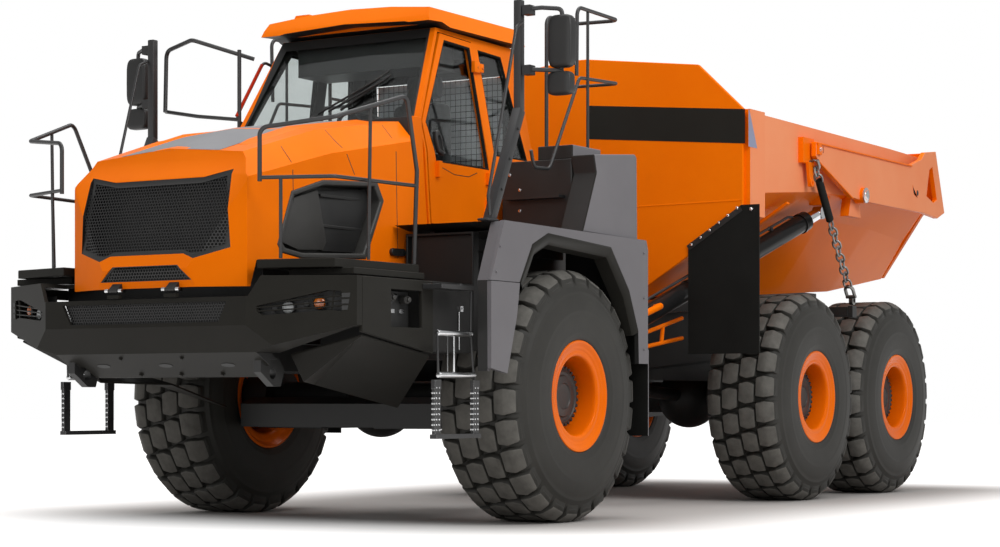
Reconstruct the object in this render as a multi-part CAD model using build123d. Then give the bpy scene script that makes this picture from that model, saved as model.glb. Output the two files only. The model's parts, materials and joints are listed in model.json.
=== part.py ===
from build123d import *
import os
from math import cos, hypot, pi, radians, sin

# Articulated dump truck, about 41 t payload class, empty and parked.
# Millimetres, +X forward, +Y to the truck's left, +Z up from the ground.
# Every place below is measured from a cross plane just behind the front axle; the parts
# are shifted on export so that the origin is under the middle of the truck.

# ---------------------------------------------------------------- driving sizes
TYRE_R = 937.5                 # 29.5R25 tyre, 1875 mm over the tread
TYRE_HALF_W = 375
RIM_FLANGE_R = 415
RIM_HALF_W = 350
TRACK_HALF = 1440
FRONT_AXLE_X = 66
MID_AXLE_X = -4284
REAR_AXLE_X = MID_AXLE_X - 1950
TANDEM_X = (MID_AXLE_X + REAR_AXLE_X) / 2
HUB_Z = TYRE_R

ROW_SHIFT_X = 2478             # that plane's place ahead of the row's origin

RING_X = -1120                 # face of the turning ring
RING_Z = 1150                  # height of the roll axis
HITCH_X = -1650                # vertical steering pin
HITCH_PIN_D = 120
RUNNING_GAP = 0.1              # on the diameter of a pin in its bore
BED_PIVOT = (-6790, 1750)      # X and Z of the dump hinge
GATE_PIVOT = (-5400, 2850)     # X and Z of the tailgate hinge
HOOD_HINGE = (2905, 1652)      # X and Z of the hood's forward hinge
DOOR_HINGE = (-150, 905)       # X and Y of the cab door's upright hinge line

# Ends of the links, left side
CHAIN_TOP = (-4285, 1740, 3130)
CHAIN_LOW = (-5300, 1705, 1850)
HOIST_BASE = (-2400, 842, 1535)
HOIST_EYE = (-4850, 1560, 2655)
STEER_EYE = (-1450, 390, 1150)
STEER_BASE = (-2600, 720, 1150)
BED_PIN_D = 90
GATE_PIN_D = 70
HOIST_PIN_D = 70
HOIST_BALL_D = 130
STEER_PIN_D = 50

DECK_Z = 1840
FENDER_TOP_Z = 2165
RAIL_FOOT_Z = DECK_Z + 5       # the rail's feet, just clear of the deck
RAIL_D = 30

MID = (Align.CENTER, Align.CENTER, Align.CENTER)
LOW = (Align.CENTER, Align.CENTER, Align.MIN)


# ---------------------------------------------------------------- small helpers
def block(x0, x1, y0, y1, z0, z1):
    size = (x1 - x0, y1 - y0, z1 - z0)
    return Pos((x0 + x1) / 2, (y0 + y1) / 2, (z0 + z1) / 2) * Box(*size, align=MID)


def outline(points):
    return make_face(Polyline(*points, close=True))


def side_prism(points, y0, y1):
    """An (X, Z) outline with its thickness along Y."""
    return extrude(outline([(x, y0, z) for x, z in points]), amount=y1 - y0, dir=(0, 1, 0))


def front_prism(points, x0, x1):
    """A (Y, Z) outline with its thickness along X."""
    return extrude(outline([(x0, y, z) for y, z in points]), amount=x1 - x0, dir=(1, 0, 0))


def plan_prism(points, z0, z1):
    """An (X, Y) outline with its thickness along Z."""
    return extrude(outline([(x, y, z0) for x, y in points]), amount=z1 - z0, dir=(0, 0, 1))


def rod(start, end, diameter):
    axis = Vector(*end) - Vector(*start)
    return Plane(origin=start, z_dir=axis) * Cylinder(diameter / 2, axis.length, align=LOW)


def tube(points, diameter=RAIL_D, bend=90):
    path = FilletPolyline(*points, radius=bend)
    section = Plane(origin=path @ 0, z_dir=path % 0) * Circle(diameter / 2)
    return sweep(section, path=path)


def cross_pin(x, z, y0, y1, diameter):
    return rod((x, y0, z), (x, y1, z), diameter)


def flip(shape):
    return mirror(shape, about=Plane.XZ)


def both_sides(*shapes):
    return list(shapes) + [flip(s) for s in shapes]


def symmetric(half):
    """Closes a half outline, listed from its bottom to its top, about Y = 0."""
    return half + [(-y, z) for y, z in reversed(half) if y > 0]


def loft_sections(sections):
    """Ruled body through (x, half outline) sections."""
    faces = [outline([(x, y, z) for y, z in symmetric(half)]) for x, half in sections]
    return loft(faces, ruled=True)


def fused(first, *others):
    body = first
    for other in others:
        body = body + other
    return body


PARTS = {}


def add(name, *shapes):
    PARTS[name] = list(shapes)


# ---------------------------------------------------------------- wheels
def turned(profile):
    """A (radius, y) outline turned about the wheel's own axis, Y."""
    return revolve(outline([(r, y, 0) for r, y in profile]), axis=Axis.Y, revolution_arc=360)


def tyre():
    """Outer shape by lines and arcs, less the air space, which the rim closes."""
    bead = RIM_FLANGE_R + 3
    edge = Polyline((bead, 352, 0), (bead, 325, 0), (332, 323, 0), (332, -323, 0), (bead, -325, 0), (bead, -352, 0))
    low = ThreePointArc((bead, -352, 0), (650, -TYRE_HALF_W, 0), (885, -318, 0))
    shoulder_low = ThreePointArc((885, -318, 0), (921, -285, 0), (TYRE_R, -230, 0))
    tread = Line((TYRE_R, -230, 0), (TYRE_R, 230, 0))
    shoulder_top = ThreePointArc((TYRE_R, 230, 0), (921, 285, 0), (885, 318, 0))
    top = ThreePointArc((885, 318, 0), (650, TYRE_HALF_W, 0), (bead, 352, 0))
    solid = revolve(make_face(edge + low + shoulder_low + tread + shoulder_top + top), axis=Axis.Y,
                    revolution_arc=360)
    air = turned([(320, -260), (440, -318), (650, -330), (800, -300), (850, -230),
                  (850, 230), (800, 300), (650, 330), (440, 318), (320, 260)])
    return solid - air


def rim():
    """Deep-dish rim: flanges, barrel, mounting disc and the planetary hub's drum."""
    flange, half = RIM_FLANGE_R, RIM_HALF_W
    return turned([
        (332, -half + 27), (332, half - 27), (flange, half - 25), (flange, half), (392, half), (372, half - 28),
        (318, half - 62), (308, 160), (308, 30), (215, 30), (215, 190), (130, 208), (0, 208),
        (0, 5), (308, 5), (308, -half + 62), (372, -half + 28), (392, -half), (flange, -half),
        (flange, -half + 25)])


WHEELS = [  # name, axle x, side
    ("front_left", FRONT_AXLE_X, 1), ("front_right", FRONT_AXLE_X, -1),
    ("mid_left", MID_AXLE_X, 1), ("mid_right", MID_AXLE_X, -1),
    ("rear_left", REAR_AXLE_X, 1), ("rear_right", REAR_AXLE_X, -1)]


def build_wheels():
    for name, x, side in WHEELS:
        for piece, shape in (("tyre", tyre()), ("rim", rim())):
            placed = Pos(x, TRACK_HALF, HUB_Z) * shape
            add(f"{name}_{piece}", placed if side > 0 else flip(placed))


# ---------------------------------------------------------------- front unit: chassis
def build_front_chassis():
    rail = side_prism([(-1050, 900), (-1050, 1420), (-500, 1420), (200, 1300), (2300, 1300), (2300, 1110),
                       (350, 1110), (150, 1220), (-350, 1220), (-520, 900)], 380, 480)
    ties = [block(x0, x1, -380, 380, z0, z1) for x0, x1, z0, z1 in (
        (2220, 2300, 1110, 1300), (760, 860, 1110, 1280), (-700, -600, 1000, 1400))]
    bulkhead = block(-1060, -960, -480, 480, 790, 1510)
    ring_seat = rod((-1060, 0, RING_Z), (RING_X + 6, 0, RING_Z), 700)
    frame = fused(rail, flip(rail), *ties, bulkhead, ring_seat)
    add("front_frame", frame)

    spindle_end = TRACK_HALF                # 5 mm short of the wheel's disc
    ax = FRONT_AXLE_X
    axle = rod((ax, -spindle_end, HUB_Z), (ax, spindle_end, HUB_Z), 230)
    bowl = Pos(ax, 0, HUB_Z - 50) * Sphere(270)
    arms = []
    for side in (1, -1):
        arm = plan_prism([(520, side * 250), (-380, side * 250), (-200, side * 1000), (330, side * 1000)], 690, 760)
        knuckle = rod((ax, side * 960, HUB_Z), (ax, side * 1180, HUB_Z), 460)
        post = block(ax - 70, ax + 70, *sorted((side * 900, side * 980)), 700, 1150)
        arms += [arm, knuckle, post]
    cross = side_prism([(560, 700), (560, 880), (430, 930), (300, 930), (300, 700)], -1000, 1000)
    add("front_axle", fused(axle, bowl, *arms, cross))

    add("engine_block", block(1000, 2150, -370, 370, 1310, 2250))
    add("radiator", block(2330, 2450, -520, 520, 1720, 2400))


# ---------------------------------------------------------------- front unit: bumper and belly
BUMPER_TOP_Z = 1590
BUMPER_EDGE_Z = 1225
BUMPER_END_Z = 1400            # its lower edge climbs towards the ends
BUMPER_NOSE = (2900, 877)      # corner between the centre and the raked ends
BUMPER_END = (2560, 1530)      # corner between the raked ends and the side plates
WING_TOP_Z = 1725
LAMPS = [(1120, 1517), (1305, 1546)]     # (y, z) of the two lamps in each slot


def bumper_outer(inset):
    """Wrap-around bumper: upright band, wings raised at its ends, and a bevelled underside."""
    nx, ny = BUMPER_NOSE
    ex, ey = BUMPER_END
    back = 2500
    plan = [(back, -ey + inset), (ex - inset, -ey + inset), (nx - inset, -ny + inset / 2),
            (nx - inset, ny - inset / 2), (ex - inset, ey - inset), (back, ey - inset)]
    face = front_prism(symmetric([(0, BUMPER_EDGE_Z + inset), (ny, BUMPER_EDGE_Z + inset),
                                  (ey, BUMPER_END_Z + inset), (ey, WING_TOP_Z - inset),
                                  (0, WING_TOP_Z - inset)]), 2000, 3000)
    lean = side_prism([(back, BUMPER_EDGE_Z + inset), (2790 - inset, BUMPER_EDGE_Z + inset),
                       (2900 - inset, 1400), (2900 - inset, WING_TOP_Z - inset),
                       (back, WING_TOP_Z - inset)], -2000, 2000)
    return plan_prism(plan, 1000, 2000) & lean & face


def build_bumper():
    shell = bumper_outer(0) - bumper_outer(28)
    shell = shell - block(2490, 2530, -1490, 1490, 1000, 2000)
    shell = shell - block(2400, 2640, -800, 800, BUMPER_TOP_Z - 60, 1800)
    notch = front_prism([(-890, BUMPER_TOP_Z), (890, BUMPER_TOP_Z), (1010, 1800), (-1010, 1800)], 2600, 2980)
    shell = shell - notch
    mesh_slot = front_prism([(-720, 1560), (720, 1560), (650, 1425), (-650, 1425)], 2700, 3000)
    shell = shell - mesh_slot
    lamp_slot = front_prism([(900, 1515), (1360, 1627), (1440, 1622), (1440, 1489), (1370, 1498), (975, 1464)],
                            2500, 3000) - block(2500, 2890, 890, 940, 1400, 1700)
    for slot in both_sides(lamp_slot):
        shell = shell - slot
    lip = side_prism([(2620, BUMPER_EDGE_Z), (2790, BUMPER_EDGE_Z), (2520, 1065), (2420, 1065)], -880, 880)
    for side in (1, -1):                # room round each towing eye
        lip = lip - block(2400, 2640, *sorted((side * 750, side * 890)), 1000, 1180)
    tie = side_prism([(2302, 1110), (2430, 1110), (2560, 1225), (2700, 1225), (2700, 1253), (2302, 1253)],
                     380, 480)
    tow = side_prism([(2700, 1095), (2560, 1000), (2480, 1000), (2440, 1110), (2500, 1190), (2700, 1190)], 790, 850)
    tow = tow - cross_pin(2570, 1085, 700, 900, 70)
    add("front_bumper", fused(shell, lip, tie, flip(tie), tow, flip(tow)))

    (nx, ny), (ex, ey) = BUMPER_NOSE, BUMPER_END
    rake = hypot(nx - ex, ey - ny)
    out_x, out_y = (ey - ny) / rake, (nx - ex) / rake
    lamps = []
    for y, z in LAMPS:
        x = nx - (y - ny) * (nx - ex) / (ey - ny)
        lamp = rod((x - 130 * out_x, y - 130 * out_y, z), (x - 38 * out_x, y - 38 * out_y, z), 90)
        bracket = block(x - 185, x - 110, y - 100, y - 40, BUMPER_END_Z + 60, z + 20)
        lamps.append(fused(lamp, bracket))
    add("headlamps", *both_sides(*lamps))

    plate = side_prism([(2500, 1356), (2500, WING_TOP_Z), (1650, WING_TOP_Z), (1650, 1225)], ey - 30, ey)
    window = block(1790, 2160, ey - 60, ey + 20, 1400, 1650)
    add("bumper_side_plates", *both_sides(plate - window))

    def belly(side):
        outer = [(2470, side * 1500, 1328), (1655, side * 1500, 1207)]
        inner = [(1000, side * 790, 850), (1820, side * 640, 1015), (2300, side * 905, 1030),
                 (2440, side * 905, 1208)]
        return folded_plate(outer + inner)
    add("belly_plates", belly(1), belly(-1))


def folded_plate(ring, thickness=14):
    """A thin plate folded along the lines from the ring's first point to its others."""
    hub = ring[0]
    leaves = [extrude(outline([hub, a, b]), amount=thickness, dir=(0, 0, 1)) for a, b in zip(ring[1:], ring[2:])]
    return fused(*leaves)


# ---------------------------------------------------------------- front unit: hood
HOOD_SECTIONS = [  # x, half outline as (y, z) from the bottom edge up to the middle of the top
    (2960, [(738, 1560), (738, 2330), (610, 2480), (0, 2530)]),
    (1900, [(840, 1560), (840, 2620), (715, 2795), (0, 2850)]),
    (930, [(885, 1560), (885, 2800), (750, 2950), (0, 3000)])]
HOOD_NOSE = [(900, 1850), (1650, 1850), (1720, 1845), (2640, 1845), (2700, 1665), (2860, 1665), (2885, 1790),
             (2720, 2420), (2640, 2530), (2500, 3100), (900, 3100)]
HOOD_PLAN = [(930, -1000), (2600, -1000), (2745, -735), (2900, -330), (2900, 330), (2745, 735), (2600, 1000),
             (930, 1000)]


def hood_body(inset):
    sections = [(x, [(y - inset, z) if y > 0 else (y, z - inset) for y, z in half])
                for x, half in HOOD_SECTIONS]
    lowered = [(x, [half[0], (half[1][0], half[1][1] - inset / 2), (half[2][0] + inset / 2, half[2][1] - inset),
                    half[3]]) for x, half in sections]
    shape = loft_sections(lowered)
    nose = side_prism([(x - inset if x > 2000 else x, z) for x, z in HOOD_NOSE], -1200, 1200)
    plan = plan_prism([(x - inset if x > 2000 else x - 5, y) for x, y in HOOD_PLAN], 1000, 3500)
    return shape & nose & plan


def build_hood():
    shell = hood_body(0) - hood_body(34)
    shell = shell - (Pos(0, 0, -120) * hood_body(34))
    grille_outline = [(0, 2410), (390, 2410), (620, 2455), (655, 1925), (410, 1855), (320, 1890), (0, 1890)]
    grille_cut = front_prism(grille_outline + [(-y, z) for y, z in reversed(grille_outline) if y > 0], 2550, 3000)
    low_outline = [(-285, 1815), (285, 1815), (400, 1712), (-400, 1712)]
    low_cut = front_prism(low_outline, 2600, 3000)
    intake = side_prism([(2440, 1960), (2300, 2330), (1980, 2430), (1370, 2465), (1290, 2335), (1500, 1905),
                         (2200, 1875), (2400, 1905)], 705, 1000)
    grille = ((hood_body(20) - hood_body(26)) & fused(grille_cut, low_cut))
    body = shell - grille_cut - low_cut - intake - flip(intake)
    hx, hz = HOOD_HINGE
    lugs = [fused(side_prism([(2830, 1640), (hx, 1640), (hx, 1668), (2870, 1700), (2830, 1700)], y - 40, y + 40),
                  cross_pin(hx, hz, y - 40, y + 40, 28)) for y in (-250, 250)]
    add("hood_shell", fused(body, *lugs))
    add("hood_grille", grille)
    pocket = side_prism([(2390, 1975), (2270, 2300), (1975, 2390), (1405, 2425), (1340, 2325), (1535, 1945),
                         (2185, 1915), (2360, 1940)], 725, 1000)
    dish = (hood_body(-8) & intake) - pocket
    add("hood_intakes", *both_sides(dish))


# ---------------------------------------------------------------- front unit: cab
CAB_HALF_W = 880
CAB_TOP_HALF_W = 716           # the sides lean in above the belt line
CAB_BELT_Z = 2750
CAB_TOP_Z = 3720
CAB_SIDE = [(720, 2200), (800, 2990), (385, CAB_TOP_Z), (-760, 3700), (-830, 2200)]   # (x, z) outline
DOOR_OUTLINE = [(690, 2215), (765, 2960), (341, 3680), (-95, 3665), (-150, 2215)]
DOOR_WINDOW = [(630, 2680), (715, 2965), (298, 3630), (-60, 3618), (-105, 2680)]
QUARTER_WINDOW = [(-210, 2800), (-185, 3618), (-520, 3606), (-700, 2800)]


def cab_width(inset):
    """The cab's cross-section along its whole length, drawn in by a skin."""
    half = [(CAB_HALF_W - inset, 2000), (CAB_HALF_W - inset, CAB_BELT_Z), (CAB_TOP_HALF_W - inset, CAB_TOP_Z),
            (CAB_TOP_HALF_W - inset, CAB_TOP_Z + 80)]
    return front_prism(symmetric(half), -1000, 1000)


def cab_skin(points, outer, inner):
    """A piece of the left side wall with an (x, z) outline, between two insets."""
    return (cab_width(outer) & side_prism(points, 500, 1000)) - cab_width(inner)


def build_cab():
    outer = side_prism(CAB_SIDE, -CAB_HALF_W, CAB_HALF_W) & cab_width(0)
    hollow = side_prism([(665, 2160), (738, 2985), (317, 3752), (-700, 3752), (-770, 2160)],
                        -CAB_HALF_W, CAB_HALF_W) & cab_width(55)
    shell = outer - hollow
    windscreen = front_prism([(-800, 2965), (800, 2965), (675, 3680), (-675, 3680)], 250, 900)
    rear_window = block(-900, -600, -620, 620, 2780, 3500)
    door_gap = side_prism([(697, 2205), (774, 2962), (366, 3689), (-101, 3672), (-156, 2205)], 600, 1000)
    quarter = side_prism(QUARTER_WINDOW, 600, 1000)
    right_window = side_prism(DOOR_WINDOW, -1000, -600)
    for hole in (windscreen, rear_window, door_gap, quarter, flip(quarter), right_window):
        shell = shell - hole
    cowl = side_prism([(922, 2160), (922, 2985), (803, 2988), (723, 2200), (723, 2160)], -870, 870)
    cowl = cowl - side_prism([(880, 2100), (880, 2940), (840, 2940), (765, 2200), (765, 2100)], -820, 820)
    add("cab_shell", shell)
    add("cab_cowl", cowl)

    slab = block(-800, 620, -800, 800, 3690, 3960)
    crown = front_prism(symmetric([(0, 3722), (795, 3722), (750, 3852), (380, 3890), (0, 3905)]), -900, 700)
    nose = side_prism([(590, 3700), (560, 3790), (440, 3960), (-760, 3960), (-800, 3700)], -900, 900)
    nose = nose - side_prism([(700, 3700), (700, 3735), (400, 3752), (300, 3722), (300, 3700)], -900, 900)
    roof = (slab & crown & nose) - block(-700, 300, -640, 640, 3700, 3800)
    arch = front_prism(symmetric([(0, 3720), (700, 3720), (560, 3752), (0, 3778)]), 395, 700)
    add("cab_roof", roof - arch)

    door = cab_skin(DOOR_OUTLINE, -4, 50) - side_prism(DOOR_WINDOW, 600, 1000)
    hx, hy = DOOR_HINGE
    hinges = [fused(block(hx, x, CAB_HALF_W + 4, CAB_HALF_W + 34, z, z + 90), rod((hx, hy, z), (hx, hy, z + 90), 38))
              for x, z in ((-60, 2350), (-60, 2560))]
    latch = block(600, 640, CAB_HALF_W + 4, CAB_HALF_W + 40, 2560, 2680)
    add("cab_door", fused(door, *hinges, latch))
    add("door_glass", cab_skin(DOOR_WINDOW, 28, 36))

    screen = side_prism([(790, 2966), (798, 2966), (397, 3679), (389, 3679)], -900, 900)
    screen = screen & front_prism([(-799, 2966), (799, 2966), (674, 3679), (-674, 3679)], 250, 900)
    quarter_pane = cab_skin(QUARTER_WINDOW, 24, 32)
    glass = [screen, block(-798, -790, -618, 618, 2782, 3498), quarter_pane, flip(quarter_pane),
             flip(cab_skin(DOOR_WINDOW, 24, 32))]
    add("cab_glass", *glass)

    floor = block(-770, 660, -820, 820, 2160, 2200)
    under = block(-700, 600, -600, 600, 1700, 2160) - block(-680, 580, -580, 580, 1680, 2150)
    add("cab_floor", fused(floor, under))

    seat_base = block(-480, 0, -260, 260, 2200, 2560)
    cushion = block(-520, 60, -280, 280, 2560, 2700)
    back = side_prism([(-520, 2700), (-380, 2700), (-480, 3330), (-600, 3330)], -260, 260)
    rest = block(-600, -500, -160, 160, 3330, 3520)
    add("driver_seat", fused(seat_base, cushion, back, rest))
    console = side_prism([(655, 2201), (685, 2860), (560, 2900), (430, 2780), (430, 2201)], -700, 700)
    console = console - side_prism([(620, 2240), (645, 2830), (560, 2860), (460, 2760), (460, 2240)], -660, 660)
    column = rod((500, 0, 2700), (290, 0, 3000), 70)
    wheel = Plane(origin=(290, 0, 3000), z_dir=(-0.57, 0, 0.82)) * Torus(210, 18)
    hub = Plane(origin=(290, 0, 3000), z_dir=(-0.57, 0, 0.82)) * Box(400, 40, 16, align=MID)
    add("dashboard", fused(console, column, wheel, hub))


# ---------------------------------------------------------------- front unit: decks, fenders, boxes
def build_decks():
    deck = plan_prism([(2745, 850), (2625, 1400), (1680, 1430), (1680, 900)], DECK_Z - 60, DECK_Z)
    step_box = plan_prism([(2540, 960), (2540, 1490), (1700, 1490), (1700, 960)], 1735, DECK_Z - 60)
    add("front_decks", *both_sides(fused(deck, step_box)))

    tank = block(1080, 1640, 560, 1490, 1240, 1730) - block(1100, 1620, 580, 1470, 1260, 1710)
    under_cab = block(985, 1060, 900, 1480, 1260, 2110) - block(1003, 1080, 920, 1460, 1280, 2090)
    valance = block(-700, 720, 845, 870, 1960, 2150)
    add("side_boxes", *both_sides(tank, under_cab, valance))

    arch = [(1370, 1740), (1190, FENDER_TOP_Z), (-920, 2150), (-950, 2080), (-950, 1190), (-800, 1190),
            (-790, 1440), (-640, 1750), (-350, 2065), (590, 2112), (810, 2020), (985, 1740)]
    skin = side_prism(arch, 1785, 1820)
    strip = side_prism([(1365, 1735), (1365, 1130), (1150, 1095), (1020, 1500), (980, 1735)], 1785, 1820)
    deck_top = side_prism([(1185, FENDER_TOP_Z), (-920, 2150), (-920, 2118), (600, 2118), (1010, 2135)], 890, 1790)
    rear_sheet = side_prism([(-950, 2080), (-915, 2120), (-915, 1190), (-950, 1190)], 1100, 1790)
    front_sheet = side_prism([(1370, 1740), (1190, 2160), (1150, 2160), (1330, 1740), (1330, 1110), (1365, 1110)],
                             1710, 1790)
    inner_rail = block(-915, 950, 1040, 1080, 2020, 2150)
    flap = block(-962, -950, 1120, 1820, 630, 1300)
    add("front_fenders", *both_sides(fused(skin, strip, deck_top, rear_sheet, front_sheet, inner_rail, flap)))

    cover = side_prism([(-20, 2166), (-880, 2152), (-870, 2790), (-840, 2815), (-190, 2755), (-230, 2620)],
                       1560, 1765)
    cover = cover - side_prism([(-60, 2186), (-860, 2176), (-850, 2770), (-240, 2730), (-270, 2620)], 1540, 1745)
    housing = block(-870, -210, 940, 1558, 2166, 2740) - block(-850, -230, 960, 1538, 2186, 2720)
    lid = block(-700, -260, 1230, 1540, 2742, 2850)
    add("rear_cabinets", *both_sides(cover, fused(housing, lid)))


def build_access():
    def ladder():
        rails = [side_prism([(1790, 1700), (1764, 1700), (1800, 1000), (1826, 1000)], 1645, 1697),
                 side_prism([(1400, 1700), (1380, 1700), (1334, 1000), (1354, 1000)], 1645, 1697)]
        steps = [rod((x0, 1671, z), (x1, 1671, z), 44) for x0, x1, z in ((1800, 1372, 1365), (1815, 1352, 1080))]
        straps = [block(x, x + 70, 1655, 1685, 650, 1010) for x in (1795, 1305)]
        foot = block(1305, 1865, 1638, 1704, 640, 680)
        hanger = block(1385, 1790, 1533, 1697, 1660, 1700)
        return fused(*rails, *steps, *straps, foot, hanger)
    add("access_steps", *both_sides(ladder()))

    def deck_rail():
        top = tube([(2740, 872, 2355), (2740, 872, 2710), (2560, 1345, 2770), (1935, 1500, 2970),
                    (1720, 1440, 2480), (1705, 1405, RAIL_FOOT_Z)], bend=60)
        low = tube([(2738, 876, 2380), (2560, 1345, 2380), (1716, 1430, 2380)], RAIL_D - 4, 40)
        posts = [rod((2680, 1000, RAIL_FOOT_Z), (2690, 1008, 2376), RAIL_D - 6),
                 rod((2250, 1405, RAIL_FOOT_Z), (2250, 1422, 2868), RAIL_D - 6)]
        return fused(top, low, *posts)
    add("deck_handrails", *both_sides(deck_rail()))

    def platform_rail():
        high = tube([(-700, 1050, 2743), (-700, 1050, 3930), (-1130, 1060, 3930), (-1170, 1440, 3930),
                     (-450, 1470, 3930), (-455, 1462, 3402)], bend=70)
        middle = tube([(-702, 1052, 3430), (-1170, 1040, 3430), (-1195, 1430, 3430), (-520, 1450, 3395),
                       (-60, 1450, 2650), (200, 1470, 2640), (260, 1480, 2760)], RAIL_D - 4, 70)
        post = rod((-640, 1456, 2853), (-640, 1456, 3930), RAIL_D - 6)
        return fused(high, middle, post)
    add("platform_handrails", *both_sides(platform_rail()))

    def mirror_post():
        post = fused(rod((790, 1700, 3760), (790, 1700, 2980), 70), rod((790, 1700, 3000), (1200, 1700, 2190), 80))
        post = fused(post, rod((1200, 1700, 2166), (1200, 1700, 2260), 80))
        grab = tube([(1240, 1700, 2190), (1290, 1740, 2300), (890, 1740, 3560), (790, 1705, 3600)], 30, 50)
        arm_high = rod((790, 1700, 3690), (660, 1960, 3640), 34)
        arm_low = rod((790, 1700, 3280), (660, 1960, 3262), 34)
        return fused(post, grab, arm_high, arm_low)
    heads = [block(600, 700, 1880, 2070, 3278, 3655), block(605, 700, 1870, 2060, 3090, 3256)]
    add("mirrors", *both_sides(fused(mirror_post(), *heads)))


# ---------------------------------------------------------------- hitch and rear frame
def build_hitch():
    ring = rod((RING_X - 2, 0, RING_Z), (RING_X - 110, 0, RING_Z), 760)
    body = block(RING_X - 220, RING_X - 100, -350, 350, 860, 1440)
    ears = [plan_prism([(RING_X - 200, -300), (RING_X - 200, 300), (HITCH_X, 170), (HITCH_X - 150, 90),
                        (HITCH_X - 150, -90), (HITCH_X, -170)], z, z + 90) for z in (860, 1350)]
    pin = rod((HITCH_X, 0, 850), (HITCH_X, 0, 1450), HITCH_PIN_D)
    lugs = [block(-1500, -1225, y - 60, y + 60, z, z + 40) for y in (-390, 390) for z in (1060, 1200)]
    add("turning_hitch", fused(ring, body, *ears, pin, *lugs))


STRINGER_GAP = 15


def floor_z(x):
    """Underside of the bed's floor, which climbs towards the back."""
    return 1800 + (-3200 - x) * 0.0625


def build_rear_frame():
    tongue = plan_prism([(HITCH_X + 130, -110), (HITCH_X + 130, 110), (HITCH_X - 250, 150), (-2350, 480),
                         (-2450, 480), (-2450, -480), (-2350, -480), (HITCH_X - 250, -150)], 990, 1310)
    pin_hole = rod((HITCH_X, 0, 900), (HITCH_X, 0, 1400), HITCH_PIN_D + RUNNING_GAP)
    rail_top = [(x, floor_z(x) - 120 - STRINGER_GAP) for x in (-3300, -6950)]
    rail = side_prism([(-2350, 990), (-2350, 1350), rail_top[0], rail_top[1], (-6950, 1560), (-5800, 1330),
                       (-4900, 1300), (-3200, 1180), (-2700, 990)], 370, 480)
    ties = [block(x0, x1, -370, 370, z0, z1) for x0, x1, z0, z1 in (
        (-2450, -2350, 990, 1340), (-3700, -3560, 1250, 1500), (-5440, -5240, 1350, 1600),
        (-6900, -6780, 1560, 1780))]
    outrigger = [block(-5380, -5240, *sorted((side * 480, side * 1680)), 1700, 1790) for side in (1, -1)]
    chain_lug = [block(-5350, -5250, *sorted((side * 1680, side * 1730)), 1690, 1800) for side in (1, -1)]
    pivot_ears = [side_prism([(-6660, 1700), (-6700, 1830), (-6880, 1830), (-6950, 1700), (-6950, 1560),
                              (-6700, 1540)], *sorted((side * 480, side * 540))) for side in (1, -1)]
    bed_pin = cross_pin(BED_PIVOT[0], BED_PIVOT[1], -690, 690, BED_PIN_D)
    hx, hy, hz = HOIST_BASE
    sx, sy, sz = STEER_BASE
    hoist_mount, steer_lug = [], []
    for side in (1, -1):
        post = block(hx - 130, hx + 60, *sorted((side * 380, side * 480)), 1270, hz + 60)
        pin = cross_pin(hx, hz, side * 470, side * hy, HOIST_PIN_D)
        ball = Pos(hx, side * hy, hz) * Sphere(HOIST_BALL_D / 2)
        hoist_mount += [post, pin, ball]
        steer_lug += [block(sx - 60, sx + 60, *sorted((side * 480, side * (sy + 70))), z, z + 35)
                      for z in (sz - 100, sz + 65)]
        steer_lug.append(rod((sx, side * sy, sz - 90), (sx, side * sy, sz + 90), STEER_PIN_D))
    struts = [block(TANDEM_X - 160, TANDEM_X + 160, *sorted((side * 380, side * 470)), 1000, 1400) for side in (1, -1)]
    frame = fused(tongue, rail, flip(rail), *ties, *outrigger, *chain_lug, *pivot_ears, bed_pin,
                  *hoist_mount, *steer_lug, *struts)
    add("rear_frame", frame - pin_hole)

    housing = rod((TANDEM_X, -800, HUB_Z), (TANDEM_X, 800, HUB_Z), 300)
    bowl = Pos(TANDEM_X, 0, HUB_Z) * Sphere(300)
    shaft = rod((-2460, 0, 1090), (TANDEM_X + 280, 0, 960), 120)
    add("rear_axle", fused(housing - block(TANDEM_X - 170, TANDEM_X + 170, 379, 471, 900, 1200)
                           - block(TANDEM_X - 170, TANDEM_X + 170, -471, -379, 900, 1200), bowl, shaft))
    beams = []
    for side in (1, -1):
        y0, y1 = sorted((side * 800, side * 990))
        beam = side_prism([(MID_AXLE_X + 230, 760), (MID_AXLE_X + 230, 1120), (TANDEM_X + 300, 1190),
                           (TANDEM_X - 300, 1190), (REAR_AXLE_X - 230, 1120), (REAR_AXLE_X - 230, 760),
                           (TANDEM_X, 700)], y0, y1)
        hubs = [rod((x, side * 990, HUB_Z), (x, side * TRACK_HALF, HUB_Z), 320) for x in (MID_AXLE_X, REAR_AXLE_X)]
        beams.append(fused(beam, *hubs))
    add("tandem_beams", *beams)


# ---------------------------------------------------------------- bed
WALL = 22
BED_SECTIONS = [  # x, half outline (y, z): floor edge, knee, break line, top of the side
    (-3040, [(520, floor_z(-3040)), (1150, 2186), (1650, 2500), (1650, 3425)]),
    (-3400, [(560, floor_z(-3400)), (1150, 2310), (1650, 2725), (1650, 3410)]),
    (-4465, [(640, floor_z(-4465)), (1180, 2540), (1648, 2816), (1648, 3403)]),
    (-5400, [(880, floor_z(-5400)), (1350, 2620), (1645, 2850), (1645, 3400)]),
    (-6400, [(980, floor_z(-6400)), (1400, 2620), (1640, 2880), (1640, 3395)]),
    (-7780, [(1000, 2190), (1300, 2560), (1560, 2830), (1600, 3385)])]
FRONT_WALL_HALF = [(520, floor_z(-3040)), (1650, 2500), (1650, 3425), (1220, 3834), (100, 3967), (0, 3967)]
GATE_LEAN = 0.41               # how far back the rear edge runs for each unit down


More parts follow.
